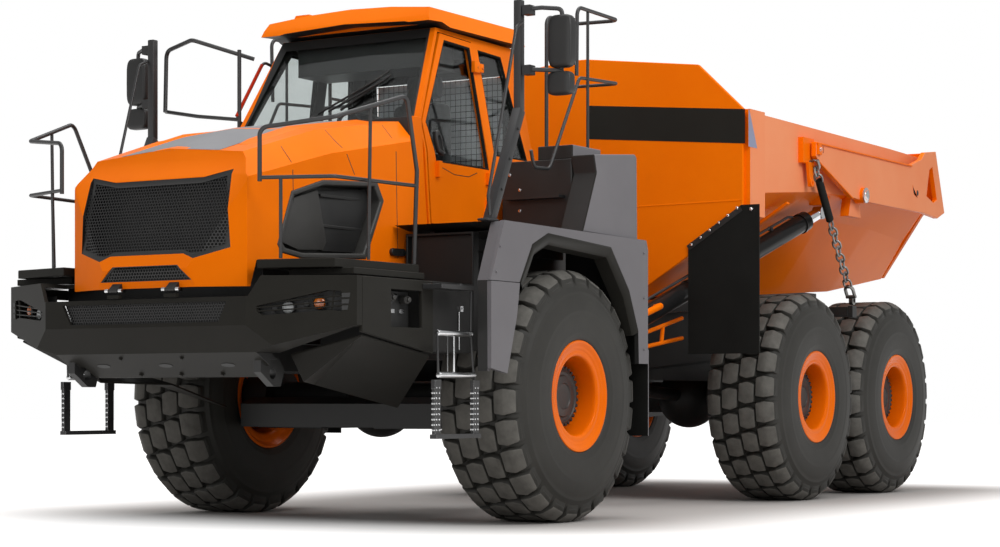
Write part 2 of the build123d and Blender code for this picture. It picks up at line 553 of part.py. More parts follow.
def bed_body(inset):
    """The tub's outer body, or its load space when each section is drawn in by the wall."""
    sections = []
    for x, (floor, knee, crease, top) in BED_SECTIONS:
        sections.append((x, [(floor[0] - inset * 0.7, floor[1] + inset), (knee[0] - inset * 0.8, knee[1] + inset * 0.6),
                             (crease[0] - inset, crease[1] + inset * 0.3), (top[0] - inset, top[1])]))
    return loft_sections(sections)


def build_bed():
    shell = bed_body(0) - bed_body(WALL)
    rear_cut = side_prism([(-7900, 2000), (-7780, 2170), (-7440, 2850), (-7440 + 750 * GATE_LEAN, 3600),
                           (-8000, 3600)], -2000, 2000)
    shell = shell - rear_cut - block(-3060, -2900, -2000, 2000, 1500, 4000)
    wall_front = front_prism(symmetric(FRONT_WALL_HALF), -3060, -3040 + WALL)
    floor_zone = side_prism([(-3060, 1700), (-3060, floor_z(-3060) + WALL + 4), (-6400, floor_z(-6400) + WALL + 4),
                             (-7780, 2190 + WALL + 4), (-7900, 2250), (-7900, 1700)], -2000, 2000)
    floor_only = shell & floor_zone
    sides = shell - floor_zone
    stringers = [side_prism([(-3300, floor_z(-3300) - 120), (-3300, floor_z(-3300)), (-6500, floor_z(-6500)),
                             (-6900, floor_z(-6500)), (-6900, 1700), (-6700, 1690), (-6500, floor_z(-6500) - 120)],
                            *sorted((side * 545, side * 640))) for side in (1, -1)]
    bore = cross_pin(BED_PIVOT[0], BED_PIVOT[1], -800, 800, BED_PIN_D + RUNNING_GAP)
    add("bed_floor", fused(floor_only, *[s - bore for s in stringers]))
    posts = [block(-3360, -3060, *sorted((side * 1650, side * 1700)), 2500, 3420) for side in (1, -1)]
    gx, gz = GATE_PIVOT
    gate_bore = cross_pin(gx, gz, -1800, 1800, GATE_PIN_D + RUNNING_GAP)
    gate_ears = [side_prism([(gx + 150, gz - 200), (gx + 70, gz + 60), (gx - 70, gz + 60), (gx - 150, gz - 200)],
                            *sorted((side * 1600, side * 1690))) - gate_bore for side in (1, -1)]
    hx, hy, hz = HOIST_EYE
    hoist_ears = [side_prism([(hx - 90, hz + 68), (hx - 110, hz + 160), (hx + 130, hz + 160), (hx + 80, hz + 68)],
                             *sorted((side * (hy - 60), side * (hy + 60)))) for side in (1, -1)]
    side_solids = sides.solids()
    left = [s for s in side_solids if s.center().Y > 0]
    right = [s for s in side_solids if s.center().Y < 0]
    left_side = fused(left[0], posts[0], gate_ears[0], hoist_ears[0])
    right_side = fused(right[0], posts[1], gate_ears[1], hoist_ears[1])
    add("bed_sides", left_side, right_side)
    add("bed_front_wall", wall_front)

    flap = front_prism([(1130, 1310), (1810, 1310), (1810, 2590), (1640, 2590), (1130, 2266)], -3018, -3006)
    add("bed_mudflaps", *both_sides(flap))


# ---------------------------------------------------------------- tailgate, chains and cylinders
def build_tailgate():
    gx, gz = GATE_PIVOT
    arm_outline = [(-4320, 3255), (-6660, 3252), (-6950, 3335), (-7050, 3415), (-7350, 3450), (-7600, 2840),
                   (-7400, 2770), (-7020, 2797), (-5500, 2800), (-5150, 2815), (-4380, 3080), (-4320, 3125)]
    arms = []
    for side in (1, -1):
        y0, y1 = sorted((side * 1715, side * 1765))
        plate = side_prism(arm_outline, y0, y1)
        slot = side_prism([(-7170, 3245), (-7255, 3285), (-7385, 2960), (-7285, 2920), (-7090, 2975)], y0 - 9, y1 + 9)
        boss = cross_pin(gx, gz, side * 1700, side * 1800, 150)
        pin = cross_pin(gx, gz, side * 1660, side * 1800, GATE_PIN_D)
        arms.append(fused(plate - slot, boss, pin))
    add("tailgate_arms", *arms)
    profile = side_prism([(-7245, 3430), (-7310, 3430), (-7550, 2850), (-7870, 2200), (-7815, 2200), (-7485, 2850)],
                         -1715, 1715)
    face = front_prism([(-1715, 3430), (1715, 3430), (1715, 2900), (1550, 2820), (990, 2190), (-990, 2190),
                        (-1550, 2820), (-1715, 2900)], -8000, -7100)
    add("tailgate_plate", profile & face)


STEER_BARREL_END = 790
STEER_ROD_START = 440


def between(start, end, distance):
    axis = Vector(*end) - Vector(*start)
    point = Vector(*start) + axis.normalized() * distance
    return (point.X, point.Y, point.Z)


def side_point(point, side):
    return (point[0], point[1] * side, point[2])


def build_links():
    for name, side in (("left", 1), ("right", -1)):
        top, low = side_point(CHAIN_TOP, side), side_point(CHAIN_LOW, side)
        length = (Vector(*top) - Vector(*low)).length
        links = rod(between(low, top, 20), between(low, top, length - 150), 50)
        links = fused(links, cross_pin(low[0], low[2], low[1] - 22, low[1] + 22, 84))
        add(f"tailgate_chain_{name}", links)

        base, eye = side_point(HOIST_BASE, side), side_point(HOIST_EYE, side)
        length = (Vector(*eye) - Vector(*base)).length
        barrel = rod(between(base, eye, 90), between(base, eye, length - 210), 170)
        barrel = fused(barrel, cross_pin(base[0], base[2], base[1] - 42, base[1] + 42, 200))
        socket = Pos(*base) * Sphere((HOIST_BALL_D + RUNNING_GAP) / 2)
        bore = rod(between(base, eye, 150), between(base, eye, length), 112)
        add(f"hoist_barrel_{name}", barrel - socket - bore)
        shaft = rod(between(base, eye, 170), between(base, eye, length - 40), 110)
        add(f"hoist_rod_{name}", fused(shaft, cross_pin(eye[0], eye[2], eye[1] - 45, eye[1] + 45, 120)))

        base, eye = side_point(STEER_BASE, side), side_point(STEER_EYE, side)
        length = (Vector(*eye) - Vector(*base)).length
        barrel = rod(between(base, eye, 40), between(base, eye, STEER_BARREL_END), 120)
        barrel = fused(barrel, rod((base[0], base[1], base[2] - 55), (base[0], base[1], base[2] + 55), 110))
        bore = rod(between(base, eye, 90), between(base, eye, length), 66)
        pin_bore = rod((base[0], base[1], base[2] - 80), (base[0], base[1], base[2] + 80), STEER_PIN_D + RUNNING_GAP)
        add(f"steer_barrel_{name}", barrel - bore - pin_bore)
        shaft = rod(between(base, eye, STEER_ROD_START), between(base, eye, length - 20), 64)
        add(f"steer_rod_{name}", fused(shaft, rod((eye[0], eye[1], eye[2] - 40), (eye[0], eye[1], eye[2] + 40), 90)))


# ---------------------------------------------------------------- writing
def main():
    build_wheels()
    build_front_chassis()
    build_bumper()
    build_hood()
    build_cab()
    build_decks()
    build_access()
    build_hitch()
    build_rear_frame()
    build_bed()
    build_tailgate()
    build_links()
    os.makedirs("parts", exist_ok=True)
    for name, shapes in PARTS.items():
        solids = [s for shape in shapes for s in shape.solids()]
        placed = [Pos(ROW_SHIFT_X, 0, 0) * s for s in solids]
        body = placed[0] if len(placed) == 1 else Compound(children=placed)
        export_step(body, f"parts/{name}.step")


main()
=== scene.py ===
"""Articulated dump truck: the visual model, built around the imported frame."""

import json
import random
from math import cos, degrees, hypot, pi, radians, sin, tan

import bmesh
import bpy
from mathutils import Matrix, Vector

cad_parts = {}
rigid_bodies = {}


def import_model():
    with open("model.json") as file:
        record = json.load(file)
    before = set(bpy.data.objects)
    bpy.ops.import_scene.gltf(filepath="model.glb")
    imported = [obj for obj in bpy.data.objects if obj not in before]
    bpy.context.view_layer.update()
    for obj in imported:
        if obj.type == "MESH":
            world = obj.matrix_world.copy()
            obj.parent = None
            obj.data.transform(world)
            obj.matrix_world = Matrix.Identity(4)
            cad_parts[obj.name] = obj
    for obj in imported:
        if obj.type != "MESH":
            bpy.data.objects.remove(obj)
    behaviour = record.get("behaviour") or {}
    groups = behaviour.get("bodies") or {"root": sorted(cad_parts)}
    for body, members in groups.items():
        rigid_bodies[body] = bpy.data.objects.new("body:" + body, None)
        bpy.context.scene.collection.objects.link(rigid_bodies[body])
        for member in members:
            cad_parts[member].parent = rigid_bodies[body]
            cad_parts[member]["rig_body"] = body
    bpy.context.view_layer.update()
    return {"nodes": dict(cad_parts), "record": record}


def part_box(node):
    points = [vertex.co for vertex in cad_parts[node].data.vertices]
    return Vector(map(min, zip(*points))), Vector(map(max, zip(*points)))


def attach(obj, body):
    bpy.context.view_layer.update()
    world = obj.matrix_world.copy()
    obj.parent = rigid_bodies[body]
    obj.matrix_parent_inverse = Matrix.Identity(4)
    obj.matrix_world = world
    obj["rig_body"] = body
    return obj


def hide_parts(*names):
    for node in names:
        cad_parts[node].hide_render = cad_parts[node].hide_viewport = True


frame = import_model()
nodes = frame["nodes"]
dice = random.Random(41)


# ------------------------------------------------------------ places
# Lengths below are millimetres from a cross plane 66 mm behind the front axle, +X forward, +Y left.
AXLE_X = sum(corner.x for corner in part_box("front_left_tyre")) / 2 - 0.066


def at(x, y, z):
    """A point in the row frame, in metres."""
    return Vector((x / 1000 + AXLE_X, y / 1000, z / 1000))


# ------------------------------------------------------------ materials
WAVE_RADIANS = 6.28   # the wave texture counts its scale in radians
PEEL_MM, FLUTE_MM, THREAD_MM = 14, 60, 8   # drawn larger than life, so that they show at this distance


def linear(code):
    """Linear RGBA from an sRGB hex colour."""
    parts = [int(code[i:i + 2], 16) / 255 for i in (1, 3, 5)]
    return [p / 12.92 if p <= 0.04045 else ((p + 0.055) / 1.055) ** 2.4 for p in parts] + [1.0]


def feed(material, node, sockets):
    """Gives a node's sockets their values or links."""
    for socket, value in sockets.items():
        if isinstance(value, bpy.types.NodeSocket):
            material.node_tree.links.new(value, node.inputs[socket])
        else:
            node.inputs[socket].default_value = value


def add(material, kind, sockets, **settings):
    """Adds one node to a material or the world, with its settings, values and links."""
    node = material.node_tree.nodes.new("ShaderNode" + kind)
    for name, value in settings.items():
        setattr(node, name, value)
    feed(material, node, sockets)
    return node


def start(name, roughness, sockets):
    """A new material, and its shader node with those values."""
    material = bpy.data.materials.new(name)
    material.use_nodes = True
    shader = material.node_tree.nodes["Principled BSDF"]
    feed(material, shader, {"Roughness": roughness, **sockets})
    return material, shader


def tone(material, shader, base, other, size_mm):
    """Clouds two colours together at a real patch size; returns the coordinates and the mix."""
    spot = add(material, "TexCoord", {}).outputs["Object"]
    cloud = add(material, "TexNoise", {"Vector": spot, "Scale": 1000 / size_mm, "Detail": 5.0,
                                       "Roughness": 0.6})
    reach = add(material, "MapRange", {"Value": cloud.outputs["Fac"], "From Min": 0.35, "From Max": 0.7})
    mix = add(material, "Mix", {"Factor": reach.outputs["Result"], "A": linear(base), "B": linear(other)},
              data_type="RGBA")
    feed(material, shader, {"Base Color": mix.outputs["Result"]})
    return spot, mix


def raise_by(material, shader, height, depth_mm):
    """Raises the surface by a pattern's height, to a real depth."""
    bump = add(material, "Bump", {"Height": height, "Distance": depth_mm / 1000})
    feed(material, shader, {"Normal": bump.outputs["Normal"]})


def edge_wear(material, shader, mix, worn):
    """Rubs the raised edges to another colour."""
    edges = add(material, "NewGeometry", {})
    reach = add(material, "MapRange", {"Value": edges.outputs["Pointiness"], "From Min": 0.53,
                                       "From Max": 0.62, "To Max": 0.5})
    rub = add(material, "Mix", {"Factor": reach.outputs["Result"], "A": mix.outputs["Result"],
                                "B": linear(worn)}, data_type="RGBA")
    feed(material, shader, {"Base Color": rub.outputs["Result"]})


def sprayed_enamel(name, base, shade, roughness, coat):
    """Two-pack enamel sprayed on sheet steel: a soft gloss with a faint orange-peel skin."""
    material, shader = start(name, roughness, {
        "Specular IOR Level": 0.12, "Specular Tint": linear(base),   # the pigment tints its own sheen
        "Coat Weight": coat, "Coat Roughness": 0.12})
    spot, mix = tone(material, shader, base, shade, 900)
    edge_wear(material, shader, mix, shade)
    # real peel is 2 mm wide
    peel = add(material, "TexNoise", {"Vector": spot, "Scale": 1000 / PEEL_MM, "Detail": 2.0})
    raise_by(material, shader, peel.outputs["Fac"], 0.05)
    return material


def cast_or_moulded(name, base, other, grain_mm, depth_mm, roughness, patch_mm=300, specular=0.5):
    """A matt surface with a fine even grain, such as rubber, moulded plastic or sprayed primer."""
    material, shader = start(name, roughness, {"Specular IOR Level": specular})
    spot = tone(material, shader, base, other, patch_mm)[0]
    grain = add(material, "TexNoise", {"Vector": spot, "Scale": 1000 / grain_mm, "Detail": 3.0})
    raise_by(material, shader, grain.outputs["Fac"], depth_mm)
    return material


def bare_metal(name, base, other, roughness, grain_mm, depth_mm=0.02, stretch=(1, 1, 1)):
    """Metal with its tool marks; stretch draws them out along an axis."""
    material, shader = start(name, roughness, {"Metallic": 1.0})
    spot = tone(material, shader, base, other, 120)[0]
    drawn = add(material, "Mapping", {"Vector": spot, "Scale": stretch})
    marks = add(material, "TexNoise", {"Vector": drawn.outputs["Vector"], "Scale": 1000 / grain_mm,
                                       "Detail": 2.0})
    raise_by(material, shader, marks.outputs["Fac"], depth_mm)
    return material


orange = sprayed_enamel("orange_enamel_on_steel", "#fb7a07", "#f57204", 0.42, 0.03)
# a paler pink orange: painted highlight, where the glossy enamel catches the light
painted_highlight_orange = sprayed_enamel("orange_enamel_painted_highlight", "#f59a6c", "#f28f5e", 0.5, 0.03)
wheel_enamel = sprayed_enamel("orange_wheel_enamel", "#f87405", "#ea6603", 0.34, 0.1)
grey = sprayed_enamel("grey_satin_enamel", "#777578", "#6f6d70", 0.45, 0.08)
charcoal = sprayed_enamel("charcoal_satin_enamel", "#2e2d2a", "#272623", 0.45, 0.04)
red_enamel = sprayed_enamel("red_handle_enamel", "#c23417", "#b12c12", 0.4, 0.1)
chassis_black = cast_or_moulded("black_chassis_primer", "#191918", "#201f1e", 22, 0.12, 0.55)
rail_black = cast_or_moulded("black_powder_coat_tube", "#262627", "#2e2e2e", 16, 0.06, 0.42)
moulded = cast_or_moulded("black_moulded_polypropylene", "#191919", "#20201f", 9, 0.15, 0.5)
intake_plastic = cast_or_moulded("dark_grey_moulded_polypropylene", "#343331", "#3c3b39", 9, 0.12, 0.5)
headliner = cast_or_moulded("dark_headliner_foam", "#1c1b19", "#232220", 10, 0.2, 0.9)
rubber = cast_or_moulded("carbon_black_rubber", "#2b2a26", "#24231f", 26, 0.3, 0.6, 240, 0.4)
tread_rubber = cast_or_moulded("scuffed_tread_rubber", "#66645f", "#52504c", 30, 0.6, 0.75, 90, 0.35)
sheet_rubber = cast_or_moulded("rubber_sheet", "#0e0e0c", "#141412", 30, 0.3, 0.75, 300, 0.2)
engine_iron = cast_or_moulded("painted_engine_iron", "#383735", "#282725", 30, 0.4, 0.55)
hub_iron = cast_or_moulded("greasy_cast_hub_iron", "#2f2926", "#1f1b19", 26, 0.5, 0.5)
# light grey: painted reflection on the hood's glossy top, seen at a grazing angle
painted_reflection_grey = cast_or_moulded("grey_painted_reflection", "#87878a", "#7d7d80", 12, 0.06, 0.6, 700)
film = cast_or_moulded("grey_blue_reflective_film", "#8d93ad", "#858ba5", 12, 0.02, 0.4, 400)
blind = cast_or_moulded("pale_window_blind", "#eceef2", "#e2e4ea", 14, 0.1, 0.8, 300)
chrome = bare_metal("hard_chrome_rod", "#d9dadc", "#c8c9cb", 0.12, 60)
steel = bare_metal("polished_steel_tube", "#d2d3d4", "#bdbebf", 0.25, 30, 0.03, (0.2, 1, 1))
chain_steel = bare_metal("zinc_plated_chain_steel", "#9b9a98", "#6a6967", 0.42, 14, 0.1)
fins = bare_metal("radiator_core_aluminium", "#3a3b3c", "#26272a", 0.5, 12, 0.4, (1, 1, 8))
cylinder_black = sprayed_enamel("black_cylinder_enamel", "#242424", "#1c1c1c", 0.3, 0.3)


def wire_mesh_material():
    """Black coated wire screen: dull, each wire catching a little light."""
    material, shader = start("black_coated_wire_screen", 0.5, {})
    tone(material, shader, "#161616", "#1f1e1d", 200)
    return material


def window_glass():
    """Lightly grey-tinted toughened glass, clear enough to show the cab inside."""
    # the low index is a bloomed pane's, which throws back little of the sky
    material, shader = start("tinted_safety_glass", 0.0, {"Transmission Weight": 1.0, "IOR": 1.3})
    tone(material, shader, "#dfe3e2", "#d4d9d8", 600)
    path = add(material, "LightPath", {})
    clear = add(material, "BsdfTransparent", {"Color": linear("#c9cdcc")})
    mixed = add(material, "MixShader", {0: path.outputs["Is Shadow Ray"], 1: shader.outputs["BSDF"],
                                        2: clear.outputs["BSDF"]})
    feed(material, material.node_tree.nodes["Material Output"], {"Surface": mixed.outputs["Shader"]})
    return material


def lamp_glass(name, base, other):
    """Moulded polycarbonate lens: clear, glossy and finely fluted."""
    material, shader = start(name, 0.08, {"IOR": 1.58, "Coat Weight": 0.6})
    spot = tone(material, shader, base, other, 40)[0]
    flutes = add(material, "TexWave", {"Vector": spot, "Scale": 1000 / FLUTE_MM / WAVE_RADIANS},
                 bands_direction="Z")
    raise_by(material, shader, flutes.outputs["Fac"], 1.0)
    return material


def woven_cloth():
    """Tough woven seat cloth, dark grey with a paler thread and a soft sheen."""
    material, shader = start("woven_seat_cloth", 0.85, {"Sheen Weight": 0.3})
    spot = tone(material, shader, "#3a3a3c", "#2d2d2f", 60)[0]
    # real threads are 1 mm apart
    warp, weft = [add(material, "TexWave", {"Vector": spot, "Scale": 1000 / THREAD_MM / WAVE_RADIANS},
                      bands_direction=axis) for axis in "YZ"]
    cross = add(material, "Math", {0: warp.outputs["Fac"], 1: weft.outputs["Fac"]}, operation="MAXIMUM")
    raise_by(material, shader, cross.outputs["Value"], 0.8)
    return material


screen = wire_mesh_material()
glass = window_glass()
clear_lens = lamp_glass("clear_polycarbonate_lens", "#cfd2d2", "#9fa3a3")
amber_lens = lamp_glass("amber_polycarbonate_lens", "#e07a1c", "#b4520c")
cloth = woven_cloth()

SLOT_FINISH = {
    "tyre_rubber": rubber, "orange_paint": orange, "wheel_orange": wheel_enamel, "grey_paint": grey,
    "black_paint": charcoal, "frame_paint": chassis_black, "engine_metal": engine_iron,
    "radiator_fins": fins, "mesh_black": screen, "moulded_black": moulded, "lamp_lens": clear_lens,
    "tinted_glass": glass, "seat_cloth": cloth, "rubber_sheet": sheet_rubber, "black_rail": rail_black,
    "polished_step": steel, "cylinder_black": cylinder_black, "piston_chrome": chrome,
    "chain_steel": chain_steel}
SLOT_OF = {part["node"]: part["material_slot"] for part in frame["record"]["subparts"]}


# ------------------------------------------------------------ mesh helpers
def grid(bm, rings, close_ring=True, close_rows=False, caps=False, finish=0):
    """Joins rings of points with faces; returns the new faces."""
    rows = [[bm.verts.new(p) for p in ring] for ring in rings]
    made = []
    count = len(rows[0])
    pairs = list(zip(rows, rows[1:])) + ([(rows[-1], rows[0])] if close_rows else [])
    for low, high in pairs:
        for i in range(count if close_ring else count - 1):
            j = (i + 1) % count
            made.append(bm.faces.new((low[i], low[j], high[j], high[i])))
    if caps:
        made.append(bm.faces.new(rows[0][::-1]))
        made.append(bm.faces.new(rows[-1]))
    for face in made:
        face.material_index = finish
    return made


def frame_of(axis):
    """Two unit directions square to an axis."""
    axis = Vector(axis).normalized()
    helper = Vector((0, 0, 1)) if abs(axis.z) < 0.9 else Vector((1, 0, 0))
    first = axis.cross(helper).normalized()
    return first, axis.cross(first).normalized()


def turns(count):
    """Equal turns round a circle, in radians."""
    return [2 * pi * k / count for k in range(count)]


def turned(bm, profile, centre, axis=(0, 1, 0), count=32, finish=0, closed=False):
    """A (radius, along) profile turned about an axis through centre."""
    axis = Vector(axis).normalized()
    first, second = frame_of(axis)
    rings = [[centre + axis * along + (first * cos(turn) + second * sin(turn)) * max(radius, 1e-5)
              for turn in turns(count)] for radius, along in profile]
    return grid(bm, rings, close_rows=closed, caps=not closed, finish=finish)


def bar(bm, start_point, end_point, radius, count=14, finish=0):
    """A round bar with chamfered ends."""
    along = end_point - start_point
    length = along.length
    cut = min(radius * 0.15, length / 3)
    profile = [(radius - cut, 0), (radius, cut), (radius, length - cut), (radius - cut, length)]
    return turned(bm, profile, start_point, along, count, finish)


BEND_STEPS = 6


def bent_pipe(bm, corners, radius, bend, count=12, finish=0, closed=False):
    """A round pipe along straight runs joined by arcs of one bend radius."""
    path = []
    total = len(corners)
    for i, corner in enumerate(corners):
        if not closed and i in (0, total - 1):
            path.append(corner)
            continue
        before, after = corners[i - 1], corners[(i + 1) % total]
        into, out = (before - corner), (after - corner)
        angle = into.angle(out)
        reach = min(bend / max(0.2, tan(angle / 2)), into.length * 0.48, out.length * 0.48)
        a, b = corner + into.normalized() * reach, corner + out.normalized() * reach
        for k in range(BEND_STEPS + 1):
            t = k / BEND_STEPS
            path.append(a * (1 - t) ** 2 + corner * 2 * t * (1 - t) + b * t ** 2)
    return swept(bm, path, radius, count, finish, closed)


def swept(bm, path, radius, count=12, finish=0, closed=False):
    """A round section carried along points without twisting."""
    rings = []
    total = len(path)
    side = None
    for i, point in enumerate(path):
        after, before = ((i + 1) % total, i - 1) if closed else (min(i + 1, total - 1), max(i - 1, 0))
        along = (path[after] - path[before]).normalized()
        if side is None:
            side = frame_of(along)[0]
        side = (side - along * side.dot(along)).normalized()
        other = along.cross(side)
        rings.append([point + (side * cos(turn) + other * sin(turn)) * radius for turn in turns(count)])
    return grid(bm, rings, close_rows=closed, caps=not closed, finish=finish)


def plate(bm, outline, direction, thickness, finish=0):
    """A flat outline of points made thick along a direction."""
    shift = Vector(direction).normalized() * thickness
    return grid(bm, [outline, [p + shift for p in outline]], caps=True, finish=finish)


def box_between(bm, low, high, finish=0):
    """A block between two corners."""
    (x0, y0, z0), (x1, y1, z1) = low, high
    ring = [Vector((x0, y0, z0)), Vector((x1, y0, z0)), Vector((x1, y1, z0)), Vector((x0, y1, z0))]
    return plate(bm, ring, (0, 0, 1), z1 - z0, finish)


def points(*places):
    """Several places as points."""
    return [at(*place) for place in places]


def block(bm, low, high, finish=0):
    """A block between two places."""
    box_between(bm, at(*low), at(*high), finish)


def rod(bm, low, high, radius, count=14, finish=0):
    """A round bar between two places."""
    bar(bm, at(*low), at(*high), radius, count, finish)


def side_plate(bm, y, outline, thickness, finish=0):
    """A plate that faces sideways: its outline is (x, z) places, and it thickens outwards."""
    plate(bm, [at(x, y, z) for x, z in outline], (0, 1, 0), thickness, finish)


def side_bolts(bm, y, places, size, finish):
    """Bolt heads that face sideways at (x, z) places."""
    for x, z in places:
        hex_bolt(bm, at(x, y, z), (0, 1, 0), size, finish)


def hex_bolt(bm, point, axis, size, finish=0):
    """A washer and a six-sided head; size is the width across the head."""
    head = point + Vector(axis).normalized() * size * 0.12
    for centre, count, profile in ((point, 16, ((0.72, 0), (0.72, 0.1), (0.6, 0.14))),
                                   (head, 6, ((0.55, 0), (0.55, 0.38), (0.42, 0.48)))):
        turned(bm, [(size * r, size * up) for r, up in profile], centre, axis, count, finish)


def soften(bm, width, angle=25, segments=2):
    """Rolls every edge sharper than an angle to a real radius."""
    bm.normal_update()
    edges = [e for e in bm.edges if len(e.link_faces) == 2 and degrees(e.calc_face_angle(0)) > angle]
    if edges:
        bmesh.ops.bevel(bm, geom=edges, offset=width, segments=segments, profile=0.5, affect="EDGES",
                        clamp_overlap=True)


def mirrored(bm):
    """Adds the same shape on the truck's other side."""
    copy = bmesh.ops.duplicate(bm, geom=bm.verts[:] + bm.edges[:] + bm.faces[:])
    moved = [g for g in copy["geom"] if isinstance(g, bmesh.types.BMVert)]
    for v in moved:
        v.co.y = -v.co.y
    faces = [g for g in copy["geom"] if isinstance(g, bmesh.types.BMFace)]
    bmesh.ops.reverse_faces(bm, faces=faces)


def as_mesh(name, bm, finishes, smooth):
    """A bmesh made into a smooth-shaded mesh with its finishes and its sharp edges."""
    bmesh.ops.recalc_face_normals(bm, faces=bm.faces[:])
    mesh = bpy.data.meshes.new(name)
    bm.to_mesh(mesh)
    bm.free()
    mesh.polygons.foreach_set("use_smooth", [True] * len(mesh.polygons))
    mesh.set_sharp_from_angle(angle=radians(smooth))
    for finish in finishes:
        mesh.materials.append(finish)
    return mesh


def set_out(name, mesh, body, stands_for):
    """Puts a mesh in the scene as one piece that rides on a body."""
    made = bpy.data.objects.new(name, mesh)
    bpy.context.scene.collection.objects.link(made)
    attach(made, body)
    if stands_for:
        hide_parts(*stands_for)
    return made


def piece(name, bm, body, finishes, stands_for=(), smooth=32):
    """Turns a bmesh into one piece that rides on a body."""
    return set_out(name, as_mesh(name, bm, finishes, smooth), body, stands_for)


def body_of(node):
    """The body that a CAD node belongs to."""
    return nodes[node]["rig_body"]


PANEL_WELD = 2e-5
FLAT_ENOUGH = radians(0.6)


def panel(node, finishes, width, choose=None, angle=25, segments=3):
    """The CAD panel again, welded into whole faces with rolled edges; choose picks faces' finishes in mm."""
    bm = bmesh.new()
    bm.from_mesh(nodes[node].data)
    bmesh.ops.remove_doubles(bm, verts=bm.verts[:], dist=PANEL_WELD)
    bmesh.ops.dissolve_limit(bm, angle_limit=FLAT_ENOUGH, verts=bm.verts[:], edges=bm.edges[:])
    soften(bm, width, angle, segments)
    if choose:
        for face in bm.faces:
            place = face.calc_center_median()
            x, y, z = (place.x - AXLE_X) * 1000, place.y * 1000, place.z * 1000
            face.material_index = choose(x, y, z, face.normal)
    made = piece(node + "_panel", bm, body_of(node), finishes, (node,), smooth=40)
    made.modifiers.new("flat faces", "WEIGHTED_NORMAL").keep_sharp = True


HEXAGON = 0.866   # half width across the flats over half width across the corners


def perforated(bm, point_of, width, height, pitch, wall, inside, finish=0):
    """A screen of six-sided cells, each a ring of metal round its hole, laid out by point_of(u, v, drop)."""
    rows, columns = int(height / (pitch * HEXAGON)) + 1, int(width / pitch) + 1
    hole, cell = (pitch - wall) / 2 / HEXAGON, pitch / 2 / HEXAGON
    for row in range(-rows // 2, rows // 2 + 1):
        for column in range(-columns // 2, columns // 2 + 1):
            u, v = (column + 0.5 * (row % 2)) * pitch, row * pitch * HEXAGON
            if inside(u, v):
                rings = [[point_of(u + radius * sin(pi * k / 3), v + radius * cos(pi * k / 3), drop)
                          for k in range(6)] for radius, drop in ((cell, 0), (hole, 0), (hole, 0.004))]
                grid(bm, rings, finish=finish)


def within(outline):
    """A test for points inside an outline of (u, v) corners."""
    def test(u, v):
        inside = False
        for (u0, v0), (u1, v1) in zip(outline, outline[1:] + outline[:1]):
            if (v0 > v) != (v1 > v) and u < (u1 - u0) * (v - v0) / (v1 - v0) + u0:
                inside = not inside
        return inside
    return test


def grown(outline, middle, grow):
    """An outline of places, larger or smaller about a middle."""
    return [(middle[0] + (u - middle[0]) * grow, middle[1] + (v - middle[1]) * grow) for u, v in outline]


def between(value, stops):
    """Straight-line interpolation through (place, value) stops in rising order."""
    for (a, va), (b, vb) in zip(stops, stops[1:]):
        if value <= b:
            return va + (vb - va) * max(0.0, (value - a) / (b - a))
    return stops[-1][1]


for node_name, node_object in nodes.items():
    node_object.data.materials.clear()
    node_object.data.materials.append(SLOT_FINISH[SLOT_OF[node_name]])


# ------------------------------------------------------------ tyres and rims
TYRE_R = (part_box("front_left_tyre")[1].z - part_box("front_left_tyre")[0].z) / 2
TREAD_PITCHES = 26
GROOVE_DEPTH = 0.044
RIM_EDGE_R = 0.4155
WELD = 1e-6

# (half width, radius) of the tread surface and of the carcass under the blocks, metres
TREAD_LINE = [(0.0, TYRE_R), (0.23, TYRE_R), (0.262, TYRE_R - 0.004), (0.285, TYRE_R - 0.0165),
              (0.303, TYRE_R - 0.033), (0.318, TYRE_R - 0.0525), (0.326, TYRE_R - 0.08),
              (0.334, TYRE_R - 0.11), (0.341, TYRE_R - 0.14)]


def tread_radius(y):
    """Radius of the tread surface at a distance from the middle."""
    return between(abs(y), TREAD_LINE)


def wheel_point(y, radius, turn):
    """A point at a distance along the axle, a radius and a turn."""
    return Vector((radius * cos(turn), y, radius * sin(turn)))


def tread_block(bm, outline, turn):
    """One rubber block: sloping walls, a rounded rim and a worn top."""
    centre_u = sum(u for u, v in outline) / len(outline)
    centre_v = sum(v for u, v in outline) / len(outline)

    def ring(drop, spread):
        places = []
        for u, v in outline:
            du, dv = u - centre_u, v - centre_v
            grow = 1.0 + spread / hypot(du, dv)
            y = centre_v + dv * grow
            places.append(wheel_point(y, tread_radius(y) - drop, turn + (centre_u + du * grow) / TYRE_R))
        return places
    rings = [ring(GROOVE_DEPTH + 0.012, 0.012), ring(0.006, 0.0), ring(0.0015, -0.004), ring(0.0, -0.009)]
    grid(bm, rings[:3])
    grid(bm, rings[2:], finish=1)
    top = [bm.verts.new(p) for p in rings[3]]
    middle = bm.verts.new(wheel_point(centre_v, tread_radius(centre_v), turn + centre_u / TYRE_R))
    bm.faces.new([bm.verts.new(p) for p in rings[0]][::-1])
    for here, after in zip(top, top[1:] + top[:1]):
        bm.faces.new((here, after, middle)).material_index = 1


def round_outline(outline, cut):
    """Cuts each corner of an outline so that it reads as a moulded radius."""
    cornered = []
    for i, (u, v) in enumerate(outline):
        for other_u, other_v in (outline[i - 1], outline[(i + 1) % len(outline)]):
            t = min(0.35, cut / hypot(other_u - u, other_v - v))
            cornered.append((u + (other_u - u) * t, v + (other_v - v) * t))
    return cornered


